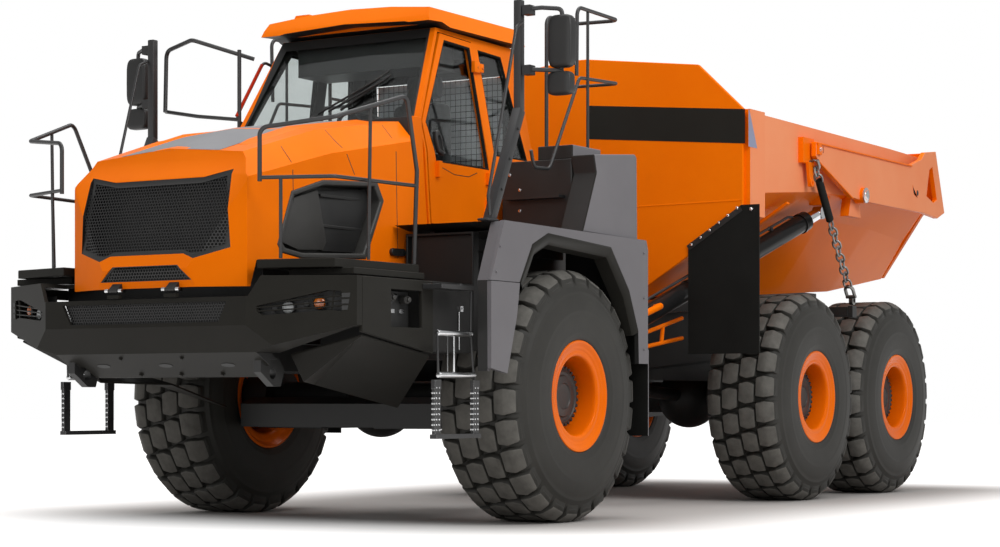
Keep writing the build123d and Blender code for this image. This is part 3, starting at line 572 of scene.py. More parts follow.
def tyre_mesh():
    """Radial earthmover tyre: carcass, staggered tread blocks, shoulder lugs and sidewall rings."""
    bm = bmesh.new()
    crown = [(y, tread_radius(y) - GROOVE_DEPTH) for y in (0.0, 0.08, 0.16, 0.23, 0.262, 0.285)]
    wall = [(0.301, 0.858), (0.314, 0.838), (0.327, 0.812), (0.337, 0.79), (0.3445, 0.78), (0.3485, 0.771),
            (0.3475, 0.763), (0.3555, 0.738), (0.3655, 0.7), (0.3715, 0.66), (0.3745, 0.64), (0.3755, 0.631),
            (0.3735, 0.622), (0.3745, 0.6), (0.3735, 0.56), (0.37, 0.515), (0.3655, 0.48), (0.3655, 0.47),
            (0.3615, 0.462), (0.3575, 0.44), (0.353, 0.425), (0.345, 0.4175), (0.326, 0.4165), (0.28, 0.345)]
    half = crown + wall
    profile = [(r, -y) for y, r in reversed(half)] + [(r, y) for y, r in half[1:]]
    turned(bm, profile, Vector((0, 0, 0)), count=104, closed=True)
    pitch = 2 * pi * TYRE_R / TREAD_PITCHES
    hexagon = [(-0.101, 0.008), (-0.084, -0.0745), (0.076, -0.0745), (0.101, -0.008), (0.084, 0.0745),
               (-0.076, 0.0745)]
    shoulder = [(-0.086, -0.0745), (0.078, -0.0745), (0.098, 0.0), (0.088, 0.08), (-0.084, 0.08),
                (-0.099, 0.004)]
    columns = [(-0.243, 0.0, shoulder, -1), (-0.081, 0.24, hexagon, 1), (0.081, 0.48, hexagon, -1),
               (0.243, 0.72, shoulder, 1)]
    for middle, lead, outline, side in columns:
        cornered = round_outline([(u, v * side) for u, v in outline], 0.008)
        if side < 0:
            cornered = cornered[::-1]
        for k in range(TREAD_PITCHES):
            turn = (k + lead) * pitch / TYRE_R
            tread_block(bm, [(u, v + middle) for u, v in cornered], turn)
            if abs(middle) > 0.2:
                shoulder_lug(bm, side, turn)
    bmesh.ops.remove_doubles(bm, verts=bm.verts[:], dist=WELD)
    return bm


def shoulder_lug(bm, side, turn):
    """The part of a shoulder block that runs down on to the sidewall."""
    rings = []
    for y, r, half_length in ((0.282, 0.893, 0.084), (0.303, 0.884, 0.081), (0.322, 0.868, 0.077),
                              (0.328, 0.846, 0.074), (0.322, 0.832, 0.07)):
        root, edge, face = (y - 0.05, r - 0.012), (y - 0.004, r - 0.002), (y, r)
        rings.append([wheel_point(side * place[0], place[1], turn + half_length / TYRE_R * share)
                      for place, share in ((root, -1.12), (edge, -1.02), (face, -0.9), (face, 0),
                                           (face, 0.9), (edge, 1.02), (root, 1.12))])
    grid(bm, rings, caps=True)


def rim_mesh():
    """Five-piece dished rim, wheel disc and planetary hub, outer side towards +Y."""
    bm = bmesh.new()
    middle = Vector((0, 0, 0))
    flange = [(0.404, 0.324), (RIM_EDGE_R, 0.33), (RIM_EDGE_R, 0.3455), (0.411, 0.3498), (0.402, 0.35),
              (0.392, 0.347), (0.376, 0.339), (0.36, 0.334), (0.352, 0.3335), (0.346, 0.329), (0.334, 0.327),
              (0.32, 0.3285), (0.308, 0.327), (0.298, 0.32), (0.292, 0.308), (0.29, 0.28), (0.288, 0.25),
              (0.286, 0.15), (0.284, 0.06), (0.225, 0.05), (0.222, 0.015), (0.32, 0.015), (0.32, 0.3),
              (0.352, 0.31)]
    turned(bm, flange, middle, count=96, closed=True)
    back = [(0.404, -0.324), (RIM_EDGE_R, -0.33), (RIM_EDGE_R, -0.345), (0.399, -0.35), (0.386, -0.334),
            (0.366, -0.3165), (0.332, -0.3155), (0.303, -0.296), (0.291, -0.27), (0.291, 0.01),
            (0.32, 0.01), (0.32, -0.3), (0.352, -0.302)]
    turned(bm, back, middle, count=72, closed=True)
    hub = [(0.0, 0.008), (0.212, 0.008), (0.212, 0.196), (0.206, 0.202), (0.19, 0.206), (0.182, 0.198),
           (0.16, 0.196), (0.15, 0.206), (0.1, 0.212), (0.092, 0.204), (0.06, 0.2), (0.0, 0.2)]
    turned(bm, hub, middle, count=72, finish=1)
    for turn in turns(30):
        bar(bm, wheel_point(0.15, 0.214, turn), wheel_point(0.206, 0.214, turn), 0.0135, 8, 2)
    for k in range(8):
        turn = 2 * pi * (k + 0.5) / 8
        hex_bolt(bm, wheel_point(0.183, 0.118, turn), (0, 1, 0), 0.026, 1)
    bar(bm, wheel_point(0.302, 0.345, 2.2), wheel_point(0.318, 0.345, 2.2), 0.007, 10, 2)
    bmesh.ops.remove_doubles(bm, verts=bm.verts[:], dist=WELD)
    return bm


def put_wheel(kind, mesh, corner, side, turn):
    """Sets a wheel's mesh on its own body, turned so that no two treads line up."""
    low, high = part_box(f"{corner}_{side}_tyre")
    centre = (low + high) / 2
    data = mesh.copy()
    data.transform(Matrix.Rotation(turn, 4, "Y"))
    if side == "right":
        data.transform(Matrix.Rotation(pi, 4, "Z"))
    data.transform(Matrix.Translation(centre))
    node = f"{corner}_{side}_{kind}"
    set_out(node + "_made", data, body_of(node), (node,))


tyre_data = as_mesh("tyre", tyre_mesh(), [rubber, tread_rubber], 38)
rim_data = as_mesh("rim", rim_mesh(), [wheel_enamel, hub_iron, chassis_black], 35)
for corner in ("front", "mid", "rear"):
    for side in ("left", "right"):
        turn = dice.uniform(0, 2 * pi)
        put_wheel("tyre", tyre_data, corner, side, turn)
        put_wheel("rim", rim_data, corner, side, turn)


# ------------------------------------------------------------ hood
GRILLE = [(0, 2410), (390, 2410), (620, 2455), (655, 1925), (410, 1855), (320, 1890), (0, 1890)]
GRILLE = GRILLE + [(-y, z) for y, z in GRILLE[-2:0:-1]]
LOW_VENT = [(-285, 1815), (285, 1815), (400, 1712), (-400, 1712)]


CELL, SLOT_CELL, CELL_WALL = 0.024, 0.022, 0.007   # pitches of the screens' cells, and the metal between


def along_hood(x, back, middle, front):
    """A value on the hood, given at its back, middle and front cross planes."""
    return between(x, [(930, back), (1900, middle), (2960, front)])


def hood_half(x):
    """Half the hood's width at its lower side."""
    return along_hood(x, 885, 840, 738)


def hood_shoulder(x):
    """Y and height of the hood's shoulder."""
    return along_hood(x, 750, 715, 610), along_hood(x, 2950, 2795, 2480)


def hood_top(x, y):
    """Height of the hood's top, which falls to a shoulder on each side."""
    middle = along_hood(x, 3000, 2850, 2530)
    shoulder_y, shoulder = hood_shoulder(x)
    return middle + (shoulder - middle) * min(1.0, abs(y) / shoulder_y)


def hood_nose(y, z):
    """The nose's X at a height, raked by both its profile and its plan."""
    profile = between(z, [(1665, 2860), (1790, 2885), (2420, 2720), (2530, 2640), (3100, 2500)])
    plan = between(abs(y), [(0, 2900), (330, 2900), (735, 2745), (1000, 2600)])
    return min(profile, plan)


def hood_finish(x, y, z, normal):
    """Paint outside, primer on the inner skin and the hinge lugs."""
    if z < 1705 and abs(y) < 330 and x > 2800:
        return 1
    away = normal.x * max(0, x - 2500) / 300 + normal.y * y / 800 + normal.z * (z - 2100) / 600
    return 1 if away < -0.05 else 0


panel("hood_shell", [orange, chassis_black], 0.012, hood_finish)


def grille_screens():
    """Perforated screens behind the nose's openings, each in a moulded frame."""
    bm = bmesh.new()
    for outline in (GRILLE, LOW_VENT):
        middle_z = sum(z for y, z in outline) / len(outline)

        def on_nose(u, v, drop, middle=middle_z):
            y, z = u * 1000, middle + v * 1000
            return at(hood_nose(y, z) - 16 - drop * 1000, y, z)
        inner = [(y / 1000, (z - middle_z) / 1000) for y, z in outline]
        perforated(bm, on_nose, 1.36, 0.66, CELL, CELL_WALL, within(inner))
        rings = []
        for scale, sink in ((1.0, -3), (0.955, -1), (0.935, 6), (0.935, 24), (1.0, 24)):
            ring = [(y * scale, middle_z + (z - middle_z) * (scale * 2 - 1)) for y, z in outline]
            rings.append([at(hood_nose(y, z) - 5 - sink, y, z) for y, z in ring])
        grid(bm, rings, close_rows=True, finish=1)
    plate(bm, [at(2560, y, z) for y, z in GRILLE], (-1, 0, 0), 0.004, 2)
    for y in range(-560, 545, 48):
        block(bm, (2530, y - 7, 1900), (2556, y + 7, 2400), 3)
    piece("hood_grille_screens", bm, body_of("hood_grille"), [screen, moulded, chassis_black, fins],
          ("hood_grille",))


grille_screens()


def hood_side_point(x, z, proud=0.0):
    """On the hood's side: the upright part, then the slope up to the shoulder."""
    edge_z = along_hood(x, 2800, 2620, 2330)
    top_y, top_z = hood_shoulder(x)
    if z <= edge_z:
        return (x, hood_half(x) + proud, z)
    share = min(1.0, (z - edge_z) / (top_z - edge_z))
    return (x, hood_half(x) + (top_y - hood_half(x)) * share + proud * 0.7, z + proud * 0.7)


def strip(bm, path, width, thickness, finish=0):
    """A thin flat strip along places on a surface; each place is (centre, surface direction)."""
    rings = []
    for i, (point, out) in enumerate(path):
        ahead = path[min(i + 1, len(path) - 1)][0] - path[max(i - 1, 0)][0]
        side = ahead.cross(out).normalized() * width / 2
        lift = out.normalized() * thickness
        rings.append([point - side, point + side, point + side * 0.9 + lift, point - side * 0.9 + lift])
    return grid(bm, rings, caps=True, finish=finish)


NOSE_SLOPE = 4.07    # how steeply the hood's top edge drops at the nose
SHEET_PROUD = 1.8


def hood_trim():
    """Seams, a grey sheet that paints the reflection on the hood's top, raised shoulders and handles on the
    hood.
    """
    bm = bmesh.new()
    out = Vector((0.05, 1, 0.15))
    for line in ([(2290, 2640), (2280, 2300), (2275, 2240)], [(1810, 2800), (1775, 2720), (1600, 2450)],
                 [(1150, 2900), (1135, 2300), (1120, 1860)]):
        path = []
        for (x0, z0), (x1, z1) in zip(line, line[1:]):
            for k in range(6):
                t = k / 6
                path.append((at(*hood_side_point(x0 + (x1 - x0) * t, z0 + (z1 - z0) * t, 0.2)), out))
        strip(bm, path, 0.007, 0.0006, 1)
    handle = [at(x, hood_half(x) + 3, 1975) for x in (1200, 1080)]
    for end in handle:
        bar(bm, end - Vector((0, 0.006, 0)), end + Vector((0, 0.022, 0)), 0.026, 20, 2)
    rise = Vector((0, 0, 0.026))
    plate(bm, [handle[0] + rise, handle[1] + rise, handle[1] - rise, handle[0] - rise], (0, 1, 0), 0.021, 2)
    ridge = []
    for k in range(15):
        x = 2430 - k * 105
        low = 1.0 if 0 < k < 14 else 0.05
        ridge.append([at(x, y, hood_top(x, y) + lift) for y, lift in
                      ((440, -3), (452, 16 * low), (468, 20 * low), (510, 12 * low), (575, -3))])
    grid(bm, ridge, caps=True)
    mirrored(bm)
    # grey sheet over the hood's top: painted reflection on the glossy top
    sheet = [[at(x, y, min(hood_top(x, y), 2530 + (2640 - x) * NOSE_SLOPE) + SHEET_PROUD)
              for y in (j * 54.5 for j in range(-8, 9))] for x in (2618 - k * 93 for k in range(19))]
    grid(bm, sheet, close_ring=False, finish=3)
    piece("hood_trim", bm, body_of("hood_shell"), [orange, chassis_black, moulded, painted_reflection_grey])


hood_trim()


def intake_detail():
    """The intake's inner panel and louvre bars, set back in the moulded dish."""
    bm = bmesh.new()
    forward = [(2372, 1985), (2262, 2282), (1990, 2362), (1900, 2005), (1935, 1950), (2185, 1937)]
    hollow = [(1960, 2360), (1420, 2410), (1355, 2320), (1545, 1955), (1900, 1945)]
    for finish, (outline, back, thickness) in enumerate(((forward, 34, 0.012), (hollow, 70, 0.01))):
        plate(bm, [at(x, hood_half(x) - back, z) for x, z in outline], (0, -1, 0), thickness, finish)
    for z in (2120, 2330):
        block(bm, (1420, 752, z - 10), (1945, 790, z + 10), 1)
    soften(bm, 0.003)
    mirrored(bm)
    piece("hood_intake_louvres", bm, body_of("hood_intakes"), [intake_plastic, moulded])


panel("hood_intakes", [intake_plastic], 0.014)
intake_detail()


# ------------------------------------------------------------ bumper, lamps and belly
RAKE_OUT = Vector((0.887, 0.462, 0))
RAKE_SLOPE = 0.5207
BEVEL_OUT = Vector((0.51, 0, -0.86))
panel("front_bumper", [charcoal, moulded], 0.01,
      lambda x, y, z, n: 1 if abs(y) > 760 and z < 1200 and x < 2720 or x < 2460 else 0)
panel("bumper_side_plates", [charcoal], 0.008)
panel("belly_plates", [charcoal], 0.003)


def rake_point(y, z, back=0.0):
    """On the bumper's raked end, or behind it."""
    return at(2900 - (y - 877) * RAKE_SLOPE - back * RAKE_OUT.x, y - back * RAKE_OUT.y, z)


def rake_plate(bm, outline, back, direction, thickness, finish=0):
    """A plate laid along the raked end."""
    plate(bm, [rake_point(y, z, back) for y, z in outline], direction, thickness, finish)


def lamp(bm, centre, out, radius, lens_finish):
    """A round lamp: bezel, bright bowl and a domed lens."""
    bezel = ((0.6, -0.07), (1, -0.05), (1.12, -0.004), (1.12, 0.004), (1, 0.006), (0.98, -0.004))
    bowl = ((0.2, -0.04), (0.7, -0.03), (0.96, -0.003))
    lens = ((0.97, -0.003), (0.9, 0.006), (0.7, 0.013), (0.4, 0.018), (0, 0.02))
    for profile, finish in ((bezel, 0), (bowl, 1), (lens, lens_finish)):
        turned(bm, [(radius * share, along) for share, along in profile], centre, out, 28, finish)


def bumper_fittings():
    """Lamps behind three bars at each end, the screened slot, drain holes, bolts and hinge eyes."""
    bm = bmesh.new()
    for y, z in ((1120, 1517), (1305, 1546)):
        lamp(bm, rake_point(y, z, 55), RAKE_OUT, 0.042, 3 if y > 1200 else 2)
        turned(bm, [(0.012, -0.01), (0.02, 0.0), (0.02, 0.012), (0.014, 0.016)],
               rake_point(y - 78, z - 8, 50), RAKE_OUT, 14)
    for low_z, high_z in ((1490, 1524), (1514, 1558), (1540, 1592)):
        bar(bm, rake_point(940, low_z, 9), rake_point(1442, high_z, 9), 0.005, 10, 4)
    rake_plate(bm, [(905, 1462), (1440, 1462), (1440, 1635), (905, 1635)], 92, (-1, 0, 0), 0.006)
    for k in range(3):
        z = 1498 + k * 41
        window = [(1442, z), (1476 + 6 * k, z), (1480 + 6 * k, z + 30), (1442, z + 27)]
        rake_plate(bm, window, -1.5, RAKE_OUT, 0.001)
    rake_plate(bm, [(1376, 1490), (1386, 1488), (1402, 1625), (1392, 1625)], 22, RAKE_OUT, 0.014, 4)
    mirrored(bm)
    for y in (-560, 0, 540):
        middle, across, down = at(2655, y, 1145), Vector((0, 0.058, 0)), Vector((0.86, 0, 0.51)) * 0.024
        oval = [middle + across * cos(turn) + down * sin(turn) + BEVEL_OUT * 0.0005 for turn in turns(20)]
        plate(bm, oval, BEVEL_OUT, 0.002)
    for x, y, z, size in ((2560, -300, 1089, 0.026), (2560, 60, 1089, 0.026), (2560, 420, 1089, 0.026),
                          (2740, -330, 1195, 0.022), (2740, 210, 1195, 0.022)):
        hex_bolt(bm, at(x, y, z) + BEVEL_OUT * 0.001, BEVEL_OUT, size, 4)

    def slot_point(u, v, drop):
        return at(2876 - drop * 1000, u * 1000, 1492 + v * 1000)
    outline = [(-0.72, 0.068), (0.72, 0.068), (0.65, -0.067), (-0.65, -0.067)]
    perforated(bm, slot_point, 1.46, 0.15, SLOT_CELL, CELL_WALL, within(outline), 5)
    plate(bm, points((2860, -728, 1566), (2860, 728, 1566), (2860, 660, 1420), (2860, -660, 1420)),
          (-1, 0, 0), 0.004)
    # dark guard plates between the bumper and the hood
    block(bm, (2480, -1040, 1600), (2490, 1040, 1733))
    block(bm, (2480, -700, 1733), (2490, 700, 1836))
    for y in (-250, 250):
        for shift in (-60, 60):
            rod(bm, (2905, y + shift - 14, 1652), (2905, y + shift + 14, 1652), 0.014, 18, 6)
        block(bm, (2880, y - 52, 1597), (2915, y + 52, 1622), 4)
    piece("bumper_fittings", bm, "chassis",
          [moulded, chrome, clear_lens, amber_lens, charcoal, screen, steel], ("headlamps",))


bumper_fittings()


def side_plate_filler():
    """What shows in the bumper plate's window: two filler caps, a hose and two catches."""
    bm = bmesh.new()
    side_plate(bm, 1418, [(1795, 1405), (2155, 1405), (2155, 1645), (1795, 1645)], -0.006)
    for x, z in ((1880, 1590), (2060, 1600)):
        rod(bm, (x, 1418, z), (x, 1470, z), 0.03, 18, 1)
        hex_bolt(bm, at(x, 1470, z), (0, 1, 0), 0.036, 1)
    bent_pipe(bm, points((1990, 1420, 1620), (1990, 1462, 1620), (2080, 1462, 1560), (2085, 1420, 1480)),
              0.01, 0.03, 10, 2)
    for x in (1900, 2010):
        block(bm, (x - 26, 1418, 1498), (x + 26, 1434, 1524), 3)
    piece("filler_fittings", bm, "chassis", [moulded, engine_iron, rail_black, steel])


side_plate_filler()


# ------------------------------------------------------------ cab
DOOR_WINDOW = [(630, 2680), (715, 2965), (298, 3630), (-60, 3618), (-105, 2680)]
QUARTER_WINDOW = [(-210, 2800), (-185, 3618), (-520, 3606), (-700, 2800)]


def cab_half(z):
    """Half the cab's width, which narrows above the window line."""
    return 880 - 164 * max(0.0, z - 2750) / 970


def cab_front(z):
    """The cab's front edge in side view."""
    return between(z, [(2200, 720), (2990, 800), (3720, 385)])


def shell_finish(x, y, z, normal):
    """Paint outside, black round the windscreen but for its left pillar, dark lining within."""
    if z > 2975 and x > cab_front(z) - 60 and normal.x > 0.25:
        return 2 if y < 0 or z > 3681 else 0
    if abs(y) > cab_half(z) - 14 or x > cab_front(z) - 14 or x < -742 - (3600 - z) * 0.045:
        return 0
    return 1


panel("cab_shell", [orange, headliner, moulded], 0.01, shell_finish)
panel("cab_door", [orange, headliner], 0.008, lambda x, y, z, n: 1 if n.y < -0.5 else 0)
panel("cab_cowl", [orange, moulded], 0.008, lambda x, y, z, n: 0 if abs(y) > 862 else 1)
panel("cab_roof", [orange, moulded], 0.022, lambda x, y, z, n: 1 if n.z < -0.35 else 0)


def skin_point(x, z, proud=0.0, side=1):
    """On the cab's side, or proud of it."""
    return at(x, side * (cab_half(z) + proud), z)


def window_seals():
    """Black rubber round each side window, and the frames' inner shadow gaps."""
    for name, body, outline, side, proud in (
            ("door_seal", "door", DOOR_WINDOW, 1, 4), ("quarter_seal_left", "chassis", QUARTER_WINDOW, 1, 0),
            ("quarter_seal_right", "chassis", QUARTER_WINDOW, -1, 0),
            ("right_window_seal", "chassis", DOOR_WINDOW, -1, 0)):
        bm = bmesh.new()
        middle = [sum(axis) / len(outline) for axis in zip(*outline)]
        rings = [[skin_point(x, z, proud + out, side) for x, z in grown(outline, middle, grow)]
                 for grow, out in ((1.012, -26), (1.012, 1.2), (0.985, 1.2), (0.975, -6), (0.975, -26))]
        grid(bm, rings, close_rows=True)
        soften(bm, 0.002, 30, 1)
        piece(name, bm, body, [sheet_rubber])


window_seals()


def screen_point(y, z, proud=0.0):
    """On the windscreen's outer face."""
    return at(cab_front(z) + proud * 0.87, y, z + proud * 0.5)


def cab_fittings():
    """Windscreen border, wipers, roof lining, rear wire guard, blind and the lumps on the roof."""
    bm = bmesh.new()
    outline = [(-836, 2962), (799, 2968), (672, 3716), (-712, 3716)]
    inner = [(-770, 2996), (784, 2996), (666, 3640), (-650, 3640)]
    rings = [[screen_point(y, z, out) for y, z in ring] for ring, out in
             ((outline, 1), (outline, 3), (inner, 3), (inner, 1))]
    grid(bm, rings, close_rows=True)
    for start_y, start_z, end_y, end_z in ((-90, 3064, 402, 3326), (0, 3078, 430, 3291)):
        bar(bm, screen_point(start_y, start_z, 22), screen_point(end_y, end_z, 34), 0.008, 8)
        bar(bm, screen_point(end_y - 330, end_z - 200, 9), screen_point(end_y + 30, end_z + 60, 9), 0.01, 8)
    rod(bm, (845, -120, 2992), (820, -90, 3050), 0.022, 12)
    block(bm, (-700, -640, 3655), (330, 640, 3690))
    block(bm, (-40, -600, 3440), (340, 600, 3655))
    for y in range(-600, 601, 50):
        rod(bm, (-772, y, 2782), (-772, y, 3498), 0.003, 5, 2)
    for z in range(2790, 3498, 50):
        rod(bm, (-770, -618, z), (-770, 618, z), 0.003, 5, 2)
    block(bm, (-786, -610, 2786), (-783, 610, 3494), 1)
    for x, y, length in ((400, -470, 150), (330, -110, 90)):
        top = bmesh.ops.create_cube(bm, size=1.0)["verts"]
        for v in top:
            z = 3866 + (40 if v.co.z > 0 else 0)
            reach = 0.5 if v.co.z > 0 else 1.0
            v.co = at(x + v.co.x * length * (0.7 + 0.3 * reach), y + v.co.y * 160 * (0.6 + 0.4 * reach), z)
        for face in {f for v in top for f in v.link_faces}:
            face.material_index = 3
    soften(bm, 0.003, 30, 1)
    piece("cab_fittings", bm, "chassis", [moulded, blind, rail_black, orange])


def door_hinge_blocks():
    """The upper door hinge's two cast blocks and their bolts."""
    bm = bmesh.new()
    for x, z, size in ((-118, 3430, (0.075, 0.03, 0.085)), (-185, 3440, (0.062, 0.026, 0.066))):
        box_between(bm, skin_point(x, z, 2), skin_point(x, z, 2) + Vector(size), 1)
    for x in (-95, -165):
        hex_bolt(bm, skin_point(x, 3470, 32), (0, 1, 0), 0.014, 1)
    soften(bm, 0.004, 30, 2)   # the rolled edges take the first finish
    piece("door_hinge_blocks", bm, "chassis", [moulded, orange])


def door_latch():
    """The moulded grip in its surround, and the pressed line below the window as a black strip: painted
    shade in the crease.
    """
    bm = bmesh.new()
    ring = [(560, 2722), (620, 2745), (640, 2830), (632, 2900), (585, 2915), (560, 2860)]
    rings = [[skin_point(x, z, out) for x, z in grown(ring, (598, 2815), grow)] for grow, out in
             ((1, -6), (1, 26), (0.86, 34), (0.62, 34), (0.6, 16))]
    grid(bm, rings, caps=True)
    soften(bm, 0.004, 30, 2)
    # black strip along the pressed line: painted shade in the crease
    groove = [(560, 2640), (380, 2600), (180, 2600), (60, 2640)]
    path = [(skin_point(x, z, 4.2), Vector((0, 1, 0))) for x, z in groove]
    strip(bm, path, 0.006, 0.0008, 1)
    piece("door_latch", bm, "door", [moulded, chassis_black])


cab_fittings()
door_hinge_blocks()
door_latch()


def cushion(name, low, high, bulge, stands_for=(), seams=2):
    """A padded block: crowned faces, rolled edges drawn in between the corners, and sewn channels."""
    bm = bmesh.new()
    bmesh.ops.create_cube(bm, size=2.0)
    bmesh.ops.subdivide_edges(bm, edges=bm.edges[:], cuts=15, use_grid_fill=True)
    middle, half = (low + high) / 2, (high - low) / 2
    for v in bm.verts:
        p, q = v.co.copy(), Vector()
        for axis in range(3):
            a, b = (p[k] for k in range(3) if k != axis)
            q[axis] = p[axis] * (1 - 0.1 * (a ** 4 + b ** 4) / 2)
            if abs(p[axis]) > 0.99:
                crown = (1 - a ** 2) * (1 - b ** 2)
                q[axis] += bulge * (crown - 0.6) * (1 if p[axis] > 0 else -1) / half[axis]
        for k in range(seams):
            line = (k + 1) / (seams + 1) * 2 - 1
            if abs(p.y - line) < 0.07:
                q.x *= 0.955
                q.z *= 0.955
        v.co = Vector((middle[axis] + q[axis] * half[axis] for axis in range(3)))
    made = piece(name, bm, "chassis", [cloth], stands_for, smooth=60)
    round_off = made.modifiers.new("soft", "SUBSURF")
    round_off.levels = round_off.render_levels = 1


cushion("seat_cushion", at(-500, -262, 2560), at(50, 262, 2695), 0.012, stands_for=("driver_seat",))
cushion("seat_back", at(-585, -250, 2700), at(-440, 250, 3290), 0.012)
cushion("seat_headrest", at(-600, -150, 3330), at(-500, 150, 3515), 0.01, seams=0)


def seat_frame():
    """Suspension base with its bellows, the seat pan, arm rests and headrest posts."""
    bm = bmesh.new()
    for k in range(6):
        inset = 0 if k % 2 else 18
        low_z = 2250 + k * 48
        block(bm, (-470 + inset, -240 + inset, low_z), (-10 - inset, 240 - inset, low_z + 46))
    block(bm, (-480, -250, 2200), (0, 250, 2248))
    block(bm, (-500, -262, 2538), (20, 262, 2558))
    for y in (-70, 70):
        rod(bm, (-540, y, 3280), (-548, y, 3345), 0.007, 8, 1)
    for y in (-300, 300):
        block(bm, (-420, y - 28, 2860), (-80, y + 28, 2905))
    soften(bm, 0.006, 30, 2)
    piece("seat_frame", bm, "chassis", [moulded, steel])


seat_frame()


def right_hand_rails():
    """Guard rail from the right mirror post to the cab, and the red-fronted grab loop."""
    bm = bmesh.new()
    bent_pipe(bm, points((690, -1660, 3205), (640, -1690, 3700), (760, -1330, 3745), (520, -900, 3590)),
              0.017, 0.07)
    bent_pipe(bm, points((650, -1688, 3215), (690, -1330, 3150), (700, -905, 3095)), 0.015, 0.05)
    rod(bm, (700, -905, 2990), (700, -905, 3640), 0.016, 12)
    loop = points((745, -915, 3080), (377, -915, 3586), (168, -915, 3549), (543, -915, 3062))
    bent_pipe(bm, loop, 0.012, 0.07, 10, 0, closed=True)
    rod(bm, (722, -915, 3120), (400, -915, 3562), 0.0135, 12, 1)
    piece("right_hand_rails", bm, "chassis", [rail_black, red_enamel])


right_hand_rails()


def soft_box(bm, low, high, power, finish):
    """A housing with generously rounded corners: a superellipsoid drawn as rings."""
    middle, half, count = (low + high) / 2, (high - low) / 2, 14

    def curve(value):
        return abs(value) ** (2 / power) * (1 if value >= 0 else -1)
    rings = []
    for i in range(1, count):
        tilt = -pi / 2 + pi * i / count
        flat = curve(cos(tilt))
        rings.append([middle + Vector((half.x * flat * curve(cos(turn)), half.y * flat * curve(sin(turn)),
                                       half.z * curve(sin(tilt)))) for turn in turns(4 * count)])
    grid(bm, rings, caps=True, finish=finish)


def mirror_sets():
    """Box-section posts with bent grab rails, and two rounded mirror heads on bent arms."""
    bm = bmesh.new()
    for a, b, half in ((at(795, 1700, 3770), at(795, 1700, 2975), 30),
                       (at(795, 1700, 2985), at(1200, 1700, 2160), 36)):
        along = (b - a).normalized()
        side = Vector((0, 1, 0))
        deep = along.cross(side)
        rings = [[p + side * sy * half / 1000 + deep * sd * half / 1000 for sy, sd in
                  ((-1, -1), (1, -1), (1, 1), (-1, 1))] for p in (a, b)]
        grid(bm, rings, caps=True)
    block(bm, (1150, 1655, 2160), (1290, 1750, 2178))
    soften(bm, 0.008, 30, 2)
    side_bolts(bm, 1737, [(1090, 2390), (980, 2615), (870, 2840)], 0.016, 1)
    for line, radius, bend in (
            ([(1250, 1735, 2200), (1285, 1745, 2330), (905, 1745, 3560), (800, 1730, 3610)], 0.012, 0.06),
            ([(800, 1735, 3700), (735, 1850, 3712), (655, 1972, 3705), (650, 1976, 3620)], 0.016, 0.04),
            ([(800, 1730, 3272), (735, 1850, 3268), (655, 1970, 3262)], 0.016, 0.04)):
        bent_pipe(bm, points(*line), radius, bend)
    for z in (3272, 3700):
        block(bm, (735, 1735, z - 40), (812, 1800, z + 28))
    soft_box(bm, at(598, 1872, 3282), at(702, 2070, 3662), 5, 1)
    soft_box(bm, at(604, 1868, 3088), at(702, 2062, 3256), 5, 1)
    rod(bm, (650, 1966, 3240), (650, 1966, 3300), 0.018, 12)
    for low, high in (((594, 1892, 3304), (598, 2050, 3640)), ((600, 1886, 3106), (604, 2044, 3238))):
        block(bm, low, high, 3)
    mirrored(bm)
    piece("mirror_sets", bm, "chassis", [rail_black, moulded, steel, chrome], ("mirrors",))


mirror_sets()


# ------------------------------------------------------------ decks, fenders, boxes and steps
def fender_finish(x, y, z, normal):
    """Grey outside, black inside and on the front's inner sheet, rubber flap at the back."""
    if x < -946 and z < 1305:
        return 2
    if abs(y) > 1783 and abs(normal.y) > 0.5 and normal.y * y > 0:
        return 0
    if normal.z > 0.3 and z > 1740 or normal.x < -0.5 and x < -940 or x > 1140 and abs(y) > 1783:
        return 0
    return 1


panel("front_fenders", [grey, chassis_black, sheet_rubber], 0.006, fender_finish)
panel("rear_cabinets", [grey, chassis_black, charcoal], 0.014,
      lambda x, y, z, n: 1 if abs(y) < 1558 and z < 2741 or n.x > 0.9 else (2 if n.x > 0.3 else 0), 25, 3)
panel("front_decks", [charcoal], 0.006)
panel("side_boxes", [chassis_black], 0.006)


ARCH_MIDDLE = (66, 938)   # X and Z of the front axle
ARCH_IN_Y = 1046          # the plane of the inner sheets


def arch_lips():
    """Moulded lip and black inner sheets in each fender's arch, and bolt heads along the fender."""
    bm = bmesh.new()
    arch = [(-790, 1440), (-640, 1750), (-350, 2065), (590, 2112), (810, 2020), (985, 1740)]
    rings = [[at(x, y, z) for x, z in grown(arch, ARCH_MIDDLE, grow)] for grow, y in
             ((1, 1822), (0.99, 1826), (0.945, 1812), (0.93, 1795), (0.92, 1690), (0.935, 1690),
              (0.955, 1780), (1, 1786))]
    grid(bm, rings, close_ring=False, close_rows=True)
    side_bolts(bm, 1820, [(1250, 1980), (1300, 1800), (-880, 1300), (-880, 1700), (-880, 2050)], 0.016, 1)
    side_plate(bm, ARCH_IN_Y, [(960, 1730), (960, 2116), (-1250, 2116), (-1250, 1250), (-700, 1730)],
               -0.004, 2)
    plate(bm, points((985, ARCH_IN_Y, 2115), (985, 1785, 2115), (-910, 1785, 2115), (-910, ARCH_IN_Y, 2115)),
          (0, 0, -1), 0.004, 2)
    mirrored(bm)
    piece("arch_lips", bm, "chassis", [charcoal, grey, chassis_black])


arch_lips()


